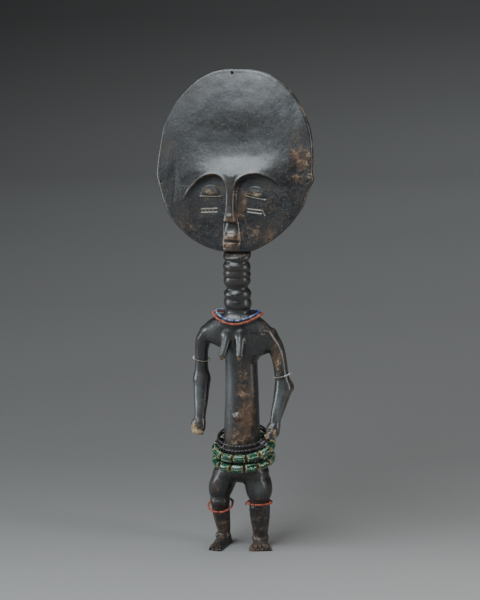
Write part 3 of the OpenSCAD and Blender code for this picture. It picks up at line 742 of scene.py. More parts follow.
# ---- body: neck, trunk, arms, legs and feet, as rows of [height, x, y, half width, half depth] ----
NECK_RINGS = [
    (187, 9.7), (190.4, 9.6), (192.6, 9.8), (194.2, 10.5), (196.6, 11.1), (199, 10.9), (201.2, 10.1),
    (202.8, 10.6), (204.8, 10.9), (206.8, 10.3), (208.6, 8.8), (209.9, 8.3), (211.3, 8.9), (213, 10.1),
    (215.2, 10.7), (216.8, 10.6), (218, 10.1), (219.4, 10.7), (221.4, 10.8), (223.4, 10.2), (225, 10.7),
    (227, 10.9), (228.8, 10.4), (230.2, 9.5), (231.6, 9.1), (233, 10), (234.4, 10.9), (236.6, 11),
    (238.6, 10.6), (240.6, 9.6), (243, 7.2), (246, 4.6)]


# How unevenly the rings run round the neck, in millimetres.
NECK_WOBBLE = 0.42


def neck_rows():
    rows = []
    for z, r in NECK_RINGS:
        t = (z - 188) / 53
        # Under the disc the neck thins towards its underside, so that the rim stands proud of it in front.
        deep = np.interp(z, [230, 234, 236.5, 238.5, 246], [0.94, 0.86, 0.7, 0.45, 0.35])
        back = np.interp(z, [230, 234, 236.5, 238.5, 246], [0, 0.6, 1.6, 3, 4])
        rows.append((z, -3 + 0.1 * t, -1.5 - 4.5 * t + back, r, r * deep))
    return rows


YOKE = [
    (153, 1, -0.2, 12.2, 10), (156, 2.6, -0.3, 14.4, 11), (158, 4, -0.4, 17.4, 11.3),
    (161, 3, -0.5, 20, 11.8), (163, 1.4, -0.6, 23.4, 12.1), (165.4, -0.9, -0.7, 26.8, 12.5),
    (170, -2.6, -0.9, 30.2, 13), (174.5, -3.2, -1, 30.6, 13.4), (179, -3.5, -1.2, 26.6, 13),
    (183.2, -3.3, -1.4, 21.9, 12.1), (186.2, -3.1, -1.5, 17.2, 11.1), (188.4, -3, -1.5, 12.6, 10),
    (190, -3, -1.6, 9.4, 9)]
TORSO = [
    (60, 0, 0, 17.6, 13.8), (67, 0, 0, 16.6, 13.8), (74, 0, 0.2, 15.6, 13.6), (82, 0, 0.2, 14.7, 12.9),
    (92, 0, 0, 14.4, 12.5), (102, 0, -0.2, 14.1, 12.2), (124, 0, -0.3, 13.4, 11.6),
    (148, -0.6, -0.2, 12.9, 11.5), (158, -1, -0.2, 13.4, 11.6), (166, -1, -0.2, 15, 12)]
HIPS = [
    (53, -1.6, 0.6, 13.6, 7), (55, -1.6, 0.8, 18.8, 10), (58, -1.4, 0.8, 22.8, 12.8),
    (61.4, -0.8, 0.8, 22.4, 13.6), (66, 0, 0.8, 18.6, 13.7), (71, 0, 0.6, 16.2, 13.5)]
RIGHT_ARM = [
    (100, -32.6, -9, 4.7, 4.7), (104, -32.4, -8.2, 4.3, 4.4), (108, -32.4, -7.3, 4.5, 4.7),
    (114, -32.4, -5.8, 5.2, 5.2), (124, -32.7, -3.2, 6.0, 5.8), (130, -32.9, -1.6, 6.5, 6.3),
    (134.2, -33, -0.8, 7.1, 6.7), (137.6, -33.2, -0.6, 6.5, 6.2), (141, -33.3, -0.4, 5.5, 5.6),
    (146, -33.4, -0.3, 5.0, 5.4), (155, -33.4, -0.2, 5.1, 5.5), (163, -32.4, -0.3, 5.9, 6.4),
    (170, -29.6, -0.5, 6.9, 8), (176.5, -25, -0.8, 6.6, 8.8)]
LEFT_ARM = [
    (100.6, 29, -9, 4.6, 4.6), (104.6, 29.4, -8, 4.2, 4.4), (109, 30.2, -7, 4.6, 4.8),
    (114, 31.2, -5.6, 5.3, 5.3), (121, 32.6, -3.6, 6, 5.8), (126.5, 33.7, -2, 6.8, 6.4),
    (130.6, 34.5, -1, 7.4, 6.7), (134.4, 34.3, -0.7, 6.9, 6.5), (138, 33.3, -0.5, 5.9, 5.9),
    (143, 32.2, -0.4, 5.5, 5.5), (151, 30.9, -0.2, 5.7, 5.8), (160, 28.6, -0.3, 6.4, 6.6),
    (168, 25, -0.5, 7, 8), (176.5, 19.8, -0.8, 6.8, 8.8)]
RIGHT_LEG = [
    (5, -15.2, 0.6, 4.9, 5.5), (9, -15.2, 0.5, 4.8, 5.5), (14, -15.7, 0.2, 5.5, 5.9),
    (20, -16.7, 0, 6.4, 6.3), (26, -17.4, -0.2, 7, 6.7), (30, -17.7, -0.6, 7.2, 6.9),
    (32, -17.8, -1, 7.3, 7.2), (34, -17.9, -1.8, 7.7, 7.8), (36, -17.9, -1.8, 7.9, 8),
    (38, -17.9, -1.4, 7.8, 8), (40, -17.9, -0.8, 8.1, 8.4), (42, -17.8, -0.3, 8.9, 9.7),
    (45, -17.4, -0.1, 9.7, 10.9), (50, -16.4, 0.1, 10.3, 11.7), (55, -14.4, 0.4, 10.4, 12.1),
    (61, -10, 0.6, 9.4, 11)]
LEFT_LEG = [
    (5, 15.1, 0.6, 5.6, 5.7), (9, 15.1, 0.5, 5.6, 5.8), (14, 15, 0.2, 6.4, 6.3), (20, 14.9, 0, 7.3, 6.8),
    (26, 14.8, -0.2, 8, 7.2), (30, 14.7, -0.4, 8.2, 7.5), (33, 14.7, -0.5, 8.1, 7.7),
    (36, 14.6, -0.5, 7.9, 7.7), (38.4, 14.5, -0.5, 8.0, 7.9), (40.2, 14.4, -0.4, 8.6, 8.8),
    (42.4, 14.3, -0.2, 9.5, 10), (45, 14.1, 0, 10.2, 11), (50, 13.6, 0.2, 10.6, 11.9),
    (55, 12.4, 0.4, 10.5, 12.3), (61, 9, 0.6, 9.4, 11)]
# A foot along its own length: [ahead of the ankle, half width, height].
FOOT = [
    (-10, 2.6, 3.6), (-8.4, 4.4, 6.2), (-4, 5.6, 8.4), (0, 5.9, 9.0), (5, 6.1, 8.0), (10, 6.8, 6.6),
    (15, 7.5, 5.4), (19, 7.7, 4.9), (21.6, 7.0, 4.3), (23, 5.4, 3.2)]
# Each foot: [where its ankle is, yaw, which side its big toe is on, reach, spread].
FEET = [((-15.2, -1), -2, -1, 1.03, 0.74), ((15.1, 0.4), 15, 1, 0.72, 1.2)]


def foot_field(at, yaw, side, reach, spread):
    rows = np.array(FOOT, float)
    fore = np.clip(rows[:, 0], 0, None)
    rows[:, 1] *= 1 + (spread - 1) * np.minimum(fore, 14) / 14
    rows[:, 0] += fore * (reach - 1)
    c, s = math.cos(math.radians(yaw)), math.sin(math.radians(yaw))

    def field(x, y, z):
        px, py = x - at[0], y - at[1]
        across, ahead = px * c + py * s, px * s - py * c
        # The outer toes end further back than the big toe.
        ahead_cut = ahead + 0.055 * np.clip(across * side + 4, 0, 12) ** 1.35
        ahead_cut = ahead_cut + 0.5 * np.cos(across * 1.9 + 0.6 * side)
        half, tall = (monotone(ahead, rows[:, 0], rows[:, k]) for k in (1, 2))
        share = np.sqrt((across / half) ** 2 + (np.maximum(z, 0) / tall) ** 2.4) + 1e-5
        r = np.sqrt(across ** 2 + np.maximum(z, 0) ** 2) + 1e-5
        side_d = r - r / share
        over = np.maximum(ahead_cut - 22.4 * reach, -9.6 - ahead)
        d = np.where(over > 0, np.sqrt(np.maximum(side_d, 0) ** 2 + over ** 2), np.maximum(side_d, over))
        return np.maximum(d, -z)
    return (at[0] - 18, at[1] - 34, -3), (at[0] + 18, at[1] + 20, 14), field


def foot_place(at, yaw, across, ahead, z):
    c, s = math.cos(math.radians(yaw)), math.sin(math.radians(yaw))
    return at[0] + across * c + ahead * s, at[1] + across * s - ahead * c, z


def model(clay):
    """All the carving below the head disc, added to one block of clay."""
    clay.work(*column(neck_rows(), 2.0, NECK_WOBBLE), 0)
    clay.work(*column(YOKE, 2.25), 1.6)
    clay.work(*column(TORSO, 2.1), 3.5)
    clay.work(*column(HIPS, 2.3), 4)
    for side in (-1, 1):
        clay.work(*ellipsoid((9.5 * side - 0.8, 6.5, 60.5), (10.2, 8.4, 8.6)), 3)
    clay.work(*column(RIGHT_ARM, 2.15), 3.2)
    clay.work(*column(LEFT_ARM, 2.15), 3.2)
    clay.work(*column(RIGHT_LEG, 2.2), 3)
    clay.work(*column(LEFT_LEG, 2.2), 3)
    # Elbow points and the shoulder caps.
    clay.work(*ellipsoid((-33.2, 3.6, 134.5), (4.6, 3.6, 4.2)), 2.5)
    clay.work(*ellipsoid((36.6, 2.4, 131), (4.8, 4.4, 4.6)), 2.5)
    # Breasts: long cones that hang off the chest, each with a cut line round its tip.
    for root, tip in (((-8.2, -10.6, 174), (-10.6, -19.0, 158.0)), ((2.0, -10.8, 174), (3.5, -19.2, 158.4))):
        root, tip = np.array(root), np.array(tip)
        clay.work(*cone(root, tip, 4.6, 2.9), 2.2)
        ahead = unit(tip - root)
        clay.work(*cone(tip + 1.5 * ahead, tip + 2.3 * ahead, 2.1, 1.75), 0.4)
    # Navel: a low button with a dimple round it.
    clay.work(*ellipsoid((-0.6, -12.2, 107.4), (3.6, 1.4, 3.6)), 0.8)
    clay.work(*ellipsoid((-0.6, -12.9, 107.4), (2.1, 1.6, 2.1)), 0.3)
    clay.work(*ellipsoid((-0.6, -15.2, 107.4), (0.9, 1.1, 0.9)), 0.3, carve=True)
    # Right hand: a loose fist; the fingers lie slantwise over the palm.
    clay.work(*ellipsoid((-33.4, -9.9, 97.8), (5.9, 4.6, 7.2)), 2)
    for k in range(4):
        a = (-37.4 + 0.35 * k, -11.3 - 0.25 * k, 99.6 - 2.05 * k)
        b = (-33.2 + 0.5 * k, -13.6, 96.6 - 1.25 * k)
        c = (-30.2 + 0.25 * k, -12.1, 94.6 - 0.7 * k)
        clay.work(*cone(a, b, 1.4, 1.4), 0.7)
        clay.work(*cone(b, c, 1.4, 1.2), 0.6)
    clay.work(*cone((-29.6, -9.8, 102.6), (-29.2, -12.4, 97.2), 1.7, 1.5), 0.7)
    # Left hand: turned in over the belt, thumb on top.
    clay.work(*ellipsoid((28.0, -9.7, 98.0), (5.5, 4.5, 6.5)), 2)
    for k in range(4):
        a = (31.0 - 0.55 * k, -11.2, 98.2 - 1.6 * k)
        b = (27.2 - 0.25 * k, -13.4, 96.2 - 1.25 * k)
        c = (22.6 + 0.45 * k, -12.2, 94.2 - 0.95 * k)
        clay.work(*cone(a, b, 1.4, 1.35), 0.6)
        clay.work(*cone(b, c, 1.35, 1.15), 0.5)
    clay.work(*cone((30.2, -11.0, 103.6), (28.6, -13.7, 98.4), 1.35, 1.3), 0.8)
    # Knee caps.
    clay.work(*ellipsoid((-17.9, -7.0, 35.6), (5.0, 3.0, 2.6)), 1)
    clay.work(*ellipsoid((14.5, -5.6, 32.6), (5.4, 3.0, 2.4)), 1)
    # The right thigh leans inwards to the crotch.
    clay.work(*cone((-9.4, 1.5, 57), (-11.6, 1.5, 49.5), 6.2, 4.4), 2.5)
    for at, yaw, side, reach, spread in FEET:
        clay.work(*foot_field(at, yaw, side, reach, spread), 2.2)
        # Ankle bones and heel.
        for across in (-4.6, 4.6):
            clay.work(*ellipsoid(foot_place(at, yaw, across, 0.8, 7.0), (1.9, 2.4, 2.0)), 2)
        # Cuts between the toes.
        for k, deep in enumerate((0.75, 0.6, 0.66, 0.55)):
            across = (-4.3 + 2.75 * k) * side * spread
            # One cut runs over the toes, one down between their tips.
            for tip, root, thin in (((1.06, 25, 2.2), (0.84, 14.6 + deep, 6.0), 0.42),
                                    ((1.08, 25.5, 0.4), (1.0, 20, 3.4), 0.6)):
                tip, root = (foot_place(at, yaw, across * a, b * reach, z) for a, b, z in (tip, root))
                clay.work(*cone(tip, root, deep, thin), 0.35, carve=True)
    # Line between the buttocks, the furrow of the spine and the cut between thighs and trunk.
    clay.work(*cone((-0.8, 16.6, 66), (-1.2, 14.4, 53), 1.0, 1.5), 1.6, carve=True)
    clay.work(*cone((-1.5, 14.6, 178), (-0.3, 14.0, 88), 1.6, 1.8), 3.0, carve=True)
    # The floor plane makes the soles flat.
    clay.work((-60, -60, -10), (60, 60, 0.01), lambda x, y, z: z + 0 * x + 0 * y, 0, carve=True)


BODY_WEAR = [
    ((8.5, -9, 118), (5.5, 8, 36), 0.78), ((2, -12, 128), (3.4, 7, 30), 0.6),
    ((-2, -12, 90), (15, 9, 9), 0.62), ((3, -12, 104), (11, 9, 10), 0.45),
    ((29, -3, 157), (5, 8, 17), 0.85), ((33, 2, 148), (5, 7, 12), 0.7), ((38.5, 0, 131), (5, 8, 8), 0.7),
    ((20, -8, 178), (9, 7, 7), 0.5), ((-33, -9, 97), (9, 9, 8), 0.85), ((27, -11, 97), (9, 8, 8), 0.85),
    ((-30, -4, 176), (10, 10, 8), 0.2), ((-11, -20, 156.5), (3, 3, 3), 0.8),
    ((3.6, -20.5, 157), (3, 3, 3), 0.8), ((-18, -11, 50), (3, 5, 8), 0.55),
    ((16, -11, 45), (3.5, 5, 5), 0.6), ((-16, 0, 20), (12, 12, 17), 0.62),
    ((15, 0, 20), (12, 12, 17), 0.64), ((-20, -20, 3), (12, 14, 6), 0.5), ((19, -18, 3), (12, 14, 6), 0.62),
    ((-3, -12, 186), (12, 6, 5), 0.45), ((0, 13, 60), (20, 6, 10), 0.35), ((-2, 12, 140), (12, 6, 26), 0.3),
    ((-34, 5, 134), (7, 4, 8), 0.4), ((-3, -10, 236), (12, 9, 5), 0.25), ((14, -9, 60), (9, 7, 6), 0.2),
    ((36, -3, 115), (6, 6, 16), 0.2)]
BODY_BARE = [
    ((5.6, -12, 143), (1.7, 5, 3.5), 0.5), ((5, -12.5, 132), (1.5, 5, 5.5), 0.4),
    ((3, -12.5, 124), (2, 5, 5), 0.42), ((0.5, -12.5, 116), (2.4, 5, 4), 0.34),
    ((-4, -12.5, 87), (7, 5, 5), 0.42), ((4, -12.5, 90), (9, 5, 6), 0.22),
    ((-37, -12, 97.5), (4, 5, 6.5), 0.75), ((-33, -14, 94), (5, 4, 5), 0.65),
    ((24.5, -13.6, 93.4), (5, 3.5, 3), 0.55), ((29.4, -13, 100), (2.6, 4, 5), 0.55),
    ((30.5, -12.4, 94.6), (3, 3, 3.6), 0.5), ((31.4, -5, 152), (2.8, 5, 9), 0.58),
    ((38.8, -1, 131), (2.4, 6, 6), 0.34), ((-11.2, -20.4, 156.4), (2.6, 3, 3), 0.55),
    ((3.6, -20.8, 156.8), (2.6, 3, 3), 0.5), ((16.5, -11, 44), (1.8, 4, 2.4), 0.5),
    ((-21.5, -22, 3.4), (3.4, 4, 4), 0.42), ((14, -6, 9.5), (3, 4, 3), 0.42),
    ((-4, -12.4, 187), (9, 4, 3.4), 0.24), ((19, -11, 177), (5, 5, 4), 0.46),
    ((-8, -13, 177), (2.5, 4, 2.5), 0.3), ((22, -21, 3), (4, 4, 3), 0.3), ((-35, -7, 176), (4, 6, 4), 0.2)]


# Spots of painted sheen, grey-blue colour standing in for highlights on the torso, forearms, thighs, breasts
# and shoulders, partly dusty grey as on the chest shelf: (centre, radii, strength).
BODY_DUST_AND_SHEEN = [
    ((-9.5, -9, 130), (4.4, 9, 30), 1.25), ((-34, -9, 118), (3.6, 7, 20), 1.2),
    ((32.5, -9, 115), (3.4, 7, 17), 1.15), ((36, -7, 130), (3, 6, 6), 0.85),
    ((17, -11, 51), (4.4, 6, 8), 1.1), ((-16, -12, 52), (3, 6, 6), 0.45),
    ((-9.5, -17, 163), (2.6, 5, 8), 0.85), ((2.5, -17, 163), (2.4, 5, 8), 0.85),
    ((-3, -8, 189), (12, 8, 2.5), 0.7), ((-24, -8, 176), (7, 8, 4), 0.5), ((14, -9, 181), (8, 7, 4), 0.4),
    ((33.5, -4, 160), (2.5, 5, 12), 0.4), ((-18, -14, 5), (5, 8, 4), 0.5), ((18, -12, 5), (6, 8, 4), 0.45)]


# Empty cells kept between a piece's cut end and the side of its block of clay.
CELLS = 1.5


def carve_body(name, low, high, step):
    clay = Clay(low, high, step)
    model(clay)
    # The piece ends flat at its own box.
    for axis in range(3):
        shape = [1, 1, 1]
        shape[axis] = -1
        a = clay.axes[axis].reshape(shape)
        wall = np.maximum(low[axis] + CELLS * step - a, a - (high[axis] - CELLS * step))
        clay.d = np.maximum(clay.d, wall).astype(np.float32)
    points, triangles, quads = clay.skin()
    out, bend = clay.slope(points, 0.9)
    out = out / np.maximum(np.linalg.norm(out, axis=1), 1e-6)[:, None]
    rise = np.clip(bend * 0.9 - 0.12, -1, 1)
    mottle = noise(points, (9, 9, 26), 21, 3)
    wear = sum(glow(points, *spot) for spot in BODY_WEAR) * (0.8 + 0.5 * mottle) + 0.12 * mottle
    bare = sum(glow(points, *spot) for spot in BODY_BARE) * (0.85 + 0.45 * noise(points, 4, 23, 2))
    # The tool facets stay off the soles and the top of the neck.
    facets = 0.2 * noise(points, (5, 5, 17), 31, 2) + 0.07 * noise(points, (2.2, 2.2, 7), 37, 2)
    free = smoothstep(0.2, 1.2, points[:, 2]) * smoothstep(244, 236, points[:, 2])
    points = points + out * (facets * free)[:, None]
    mesh = new_mesh(name, row_frame(points), outward(points, [triangles, quads]))
    if len(mesh.vertices) != len(points):
        raise RuntimeError(name + ": the mesh lost points")
    # Painted sheen, partly dusty grey: the grey-blue colour from the spots above.
    dust = sum(glow(points, *spot) for spot in BODY_DUST_AND_SHEEN) * (0.9 + 0.6 * noise(points, (3, 3, 14), 47, 3))
    set_marks(mesh, wear=np.clip(wear, 0, 1), bare=np.clip(bare, 0, 1), rise=rise, line=np.zeros(len(points)),
              polish=np.interp(points[:, 2], [0, 40, 80, 110, 190, 240], [0.2, 0.3, 0.55, 0.8, 0.8, 0.5]),
              dust=np.clip(dust, 0, 1))
    return place(name, mesh, WOOD, "figure", ["carved_figure"])


carve_head()
FINE = 0.5
# The two halves meet at this height, under the green beads.
WAIST = 76.0
carve_body("carved_figure_body", (-45, -25, WAIST - CELLS * FINE), (45, 19, 248), FINE)
carve_body("carved_figure_legs", (-45, -30, -4.0), (45, 21, WAIST + CELLS * FINE), FINE)


# ---- strands: cords, knots and beads --------------------------------------------------------------
JOINTS = {j["child"]: j for j in frame["joints"]}
RED = seed_glass("coral_red_glass", (0.30, 0.045, 0.022), (0.56, 0.13, 0.07), 0.4, 0.3)
BLUE = seed_glass("deep_blue_glass", (0.014, 0.035, 0.16), (0.05, 0.12, 0.42), 0.3, 0.22)
WHITE = seed_glass("milk_white_glass", (0.42, 0.45, 0.47), (0.72, 0.75, 0.76), 0.35, 0.28)
SKY = seed_glass("pale_blue_glass", (0.16, 0.23, 0.4), (0.46, 0.55, 0.7), 0.35, 0.26)
DARK = seed_glass("dark_tube_glass", (0.016, 0.012, 0.014), (0.07, 0.052, 0.06), 0.3, 0.2)
GREEN = cane_glass()
DARK_TWINE = twine("dark_twine", (0.05, 0.035, 0.025), (0.13, 0.095, 0.065))
PALE_TWINE = twine("pale_twine", (0.2, 0.165, 0.12), (0.5, 0.44, 0.34))
WEAVE = np.random.default_rng(20)


def loop_frame(body, tilt, roll):
    """The loop's centre and its x, y and z directions: its axis is the joint's, x lies towards +X."""
    joint = JOINTS[body]
    centre = np.array(joint["pos_m"], float) / MM - CENTRING
    return ring_frame(centre, tilt, roll)


def ring_frame(centre, tilt, roll):
    tip, nod = Matrix.Rotation(math.radians(-roll), 3, "Y"), Matrix.Rotation(math.radians(tilt), 3, "X")
    return (np.array(centre, float), *np.array(tip @ nod).T)


def on_ring(ring, radius, degrees, lift=0.0):
    centre, x, y, z = ring
    a = np.radians(np.asarray(degrees, float))[..., None]
    return centre + radius * (np.cos(a) * x + np.sin(a) * y) + lift * z


def seed_profile(d, l, bore, roundness):
    """Closed section of a bead as (radius, height): outside wall, rounded ends and the bore."""
    out, half = d / 2, l / 2
    a = np.radians(np.linspace(-90, 90, 9))
    heights = np.sign(a) * max(half - roundness, 0) + roundness * np.sin(a)
    wall = np.column_stack([out - roundness + roundness * np.cos(a), heights])
    return np.vstack([wall, [(bore, half - 0.12), (bore, 0.0), (bore, -half + 0.12)]])


def band(a, b, sides, shift=0):
    """Quads between two rings of points whose first points are number a and number b."""
    i = np.arange(sides)
    j = (i + 1) % sides
    return np.stack([a + i, a + j, b + (j + shift) % sides, b + (i + shift) % sides], 1)


def bead_shape(profile, sides):
    turn = 2 * np.pi * np.arange(sides) / sides
    rings = [np.column_stack([r * np.cos(turn), r * np.sin(turn), np.full(sides, h)]) for r, h in profile]
    n = len(profile)
    return np.vstack(rings), np.vstack([band(k * sides, (k + 1) % n * sides, sides) for k in range(n)])


def turned_to(direction, spin=0.0):
    """Rotation whose third column is the direction."""
    z = unit(direction)
    side = unit(np.cross((0, 0, 1.0) if abs(z[2]) < 0.9 else (1.0, 0, 0), z))
    up = np.cross(z, side)
    c, s = math.cos(spin), math.sin(spin)
    return np.stack([c * side + s * up, -s * side + c * up, z], 1)


def string_beads(name, places, size, material, body):
    """One mesh of many hand-sorted beads, which stands for the node of its name.
    places is a list of (point, direction of the bore), size is (diameter, length, bore, roundness)."""
    d, l, bore, roundness = size
    points, faces, tints, start = [], [], [], 0
    for at, along in places:
        wide = 1 - 0.1 * WEAVE.random()
        long = 1 - 0.12 * WEAVE.random()
        shape, quads = bead_shape(seed_profile(d * wide, l * long, bore, min(roundness, l * long * 0.46)), 14)
        shape[:, 2] += 0.06 * l * (WEAVE.random() - 0.5) * shape[:, 0] / d
        tip = unit(along) + 0.11 * (WEAVE.random(3) - 0.5)
        points.append(shape @ turned_to(tip, 6.28 * WEAVE.random()).T + at)
        faces.append(quads + start)
        tints.append(np.full(len(shape), WEAVE.random()))
        start += len(shape)
    points, faces = np.vstack(points), np.vstack(faces)
    mesh = new_mesh(name, row_frame(points), outward(points, [faces]))
    set_marks(mesh, tint=np.concatenate(tints))
    return place(name, mesh, material, body, [name])


def tube(path, radius, sides, closed, taper=None):
    """A round tube along a path; taper scales its radius at each point."""
    path = np.asarray(path, float)
    n = len(path)
    ahead = np.roll(path, -1, 0) - np.roll(path, 1, 0) if closed else np.gradient(path, axis=0)
    ahead /= np.linalg.norm(ahead, axis=1)[:, None]
    side = unit(np.cross(ahead[0], (0.3, 0.2, 1)))
    rings = []
    for k in range(n):
        side = unit(side - (side @ ahead[k]) * ahead[k])
        up = np.cross(ahead[k], side)
        a = 2 * np.pi * np.arange(sides) / sides
        r = radius * (1 if taper is None else taper[k])
        rings.append(path[k] + r * (np.cos(a)[:, None] * side + np.sin(a)[:, None] * up))
    faces = [band(k * sides, (k + 1) * sides, sides) for k in range(n - 1)]
    points = np.vstack(rings)
    if closed:
        # The frame has turned a little on its way round, so the last ring is joined to the nearest corners.
        shift = int(np.argmin(np.linalg.norm(rings[0] - rings[-1][0], axis=1)))
        faces.append(band((n - 1) * sides, 0, sides, shift))
        return points, [np.vstack(faces)]
    i = np.arange(sides)
    return points, [np.vstack(faces), i[::-1][None], ((n - 1) * sides + i)[None]]


def smooth_path(points, count):
    """Evenly spaced points along a smooth open curve."""
    dense = through(np.asarray(points, float), 12, False)
    run = np.concatenate([[0], np.cumsum(np.linalg.norm(np.diff(dense, axis=0), axis=1))])
    at = np.linspace(0, run[-1], count)
    return np.stack([np.interp(at, run, dense[:, k]) for k in range(3)], 1)


def twisted(path, radius, pitch, closed):
    """Two plies laid round each other along a path."""
    path = np.asarray(path, float)
    step = np.linalg.norm(np.diff(path, axis=0), axis=1)
    run = np.concatenate([[0], np.cumsum(step)])
    whole = run[-1] + (np.linalg.norm(path[0] - path[-1]) if closed else 0)
    turns = max(1, round(whole / pitch)) if closed else whole / pitch
    ahead = np.roll(path, -1, 0) - np.roll(path, 1, 0) if closed else np.gradient(path, axis=0)
    ahead /= np.linalg.norm(ahead, axis=1)[:, None]
    up = np.array([0.02, 0.03, 1.0])
    side = np.cross(ahead, up)
    side /= np.maximum(np.linalg.norm(side, axis=1), 1e-3)[:, None]
    over = np.cross(side, ahead)
    parts = []
    for ply in (0, math.pi):
        a = 2 * np.pi * turns * run / whole + ply
        spiral = path + 0.5 * radius * (np.cos(a)[:, None] * side + np.sin(a)[:, None] * over)
        parts.append(tube(spiral, 0.56 * radius, 7, closed))
    return parts


def joined(parts):
    points, faces, start = [], [], 0
    for p, fs in parts:
        faces += [f + start for f in outward(p, fs)]
        points.append(p)
        start += len(p)
    return np.vstack(points), faces


# Half the width of a knot in cord radii.
KNOT_SIZE = 2.5


def knot(at, along, out, up, r, cord_r, reach):
    """An overhand knot on a strand and its two frayed tails. along, out and up are its directions."""
    t = np.linspace(0, 2 * np.pi, 46)
    along, out, up = unit(along), unit(out), unit(up)
    lay = 0.3 * (np.sin(t) + 2 * np.sin(2 * t))[:, None] * along
    lay = lay + 0.3 * (np.cos(t) - 2 * np.cos(2 * t))[:, None] * up - 0.42 * np.sin(3 * t)[:, None] * out
    parts = [tube(at + r * lay[:-1], cord_r * 0.95, 7, True)]
    for hand in (-1, 1):
        lead = [at + 0.2 * r * hand * along, at + (0.6 * along * hand + 0.5 * out) * r * 1.1,
                at + (1.0 * along * hand + 0.9 * out - 0.15 * up) * r * 1.35,
                at + (1.25 * along * hand + 1.0 * out - 0.75 * up) * reach * r,
                at + (1.35 * along * hand + 0.85 * out - 1.45 * up) * reach * r]
        path = smooth_path(lead, 22)
        parts += twisted(path, cord_r, 2.2, False)
        tip, way = path[-1], unit(path[-1] - path[-3])
        for hair in range(4):
            spread = unit(way + 0.55 * (WEAVE.random(3) - 0.5))
            long = 0.8 + 0.5 * WEAVE.random()
            end = tip + long * unit(spread + 0.3 * (WEAVE.random(3) - 0.5))
            line = smooth_path([tip - 0.3 * way, tip + 0.45 * spread, end], 6)
            parts.append(tube(line, cord_r * 0.28, 5, False, np.linspace(1, 0.4, 6)))
    return parts


def cord_piece(name, parts, material, body):
    points, faces = joined(parts)
    return place(name, new_mesh(name, row_frame(points), faces), material, body, [name])


def ring_strand(body, tilt, roll, radius, knot_at, gap, count, cord_r, reach=1.5, hang=1):
    """Bead places round a loop and the parts of its cord."""
    ring = loop_frame(body, tilt, roll)
    angle = knot_at + gap / 2 + (np.arange(count) + 0.5) * (360 - gap) / count
    at = on_ring(ring, radius, angle)
    way = on_ring(ring, 1, angle + 90) - ring[0]
    steps = np.linspace(0, 360, int(26 * radius), endpoint=False)
    parts = twisted(on_ring(ring, radius, steps), cord_r, 2.6, True)
    mid = on_ring(ring, radius + 0.15, knot_at)
    out = unit(on_ring(ring, 1, knot_at) - ring[0])
    parts += knot(mid, np.cross(ring[3], out), out, hang * ring[3], KNOT_SIZE * cord_r, cord_r, reach)
    return at, way, parts


def count_round(radius, pitch, gap):
    return int(2 * math.pi * radius * (360 - gap) / 360 / pitch)


# Cord radii, and the beads' (diameter, length, bore radius, roundness of the ends).
THIN, THICK = 0.33, 0.4
RED_SEED, PALE_SEED, ARM_SEED = (1.85, 1.5, 0.42, 0.5), (1.62, 1.38, 0.42, 0.45), (1.2, 1.12, 0.36, 0.34)
DARK_TUBE = (1.95, 2.72, 0.42, 0.42)
# How far apart beads sit along a strand.
RED_PITCH, PALE_PITCH, DARK_PITCH = 1.55, 1.45, 2.75

# Knee strands: tilt, roll and radius of the loop, and where its knot is.
for side, tilt, roll, radius, knot_at in (("right", 26, 0, 9.8, 42), ("left", -1, 2, 9.7, 190)):
    body = side + "_knee_strand"
    count = count_round(radius, RED_PITCH, 16)
    at, way, parts = ring_strand(body, tilt, roll, radius, knot_at, 16, count, THIN)
    cord_piece(side + "_knee_cord", parts, DARK_TWINE, body)
    string_beads(side + "_knee_beads", zip(at, way), RED_SEED, RED, body)

# Waist: two strands of dark tube beads over two rows of green cane beads.
# The upper one's knot has its ends up and the lower one's are short, so they pass clear as the strands turn.
for row, tilt, roll, radius, knot_at, reach, hang in (("upper", 15.5, 1, 19.4, 70, 1.15, -1),
                                                      ("lower", 16.5, 1, 20.1, 110, 0.9, 1)):
    body = "waist_dark_" + row
    count = count_round(radius, DARK_PITCH, 12)
    at, way, parts = ring_strand(body, tilt, roll, radius, knot_at, 12, count, THIN, reach, hang)
    cord_piece(body + "_cord", parts, DARK_TWINE, body)
    string_beads(body + "_beads", zip(at, way), DARK_TUBE, DARK, body)

GREEN_COUNT, GREEN_RADIUS = 13, 3.5
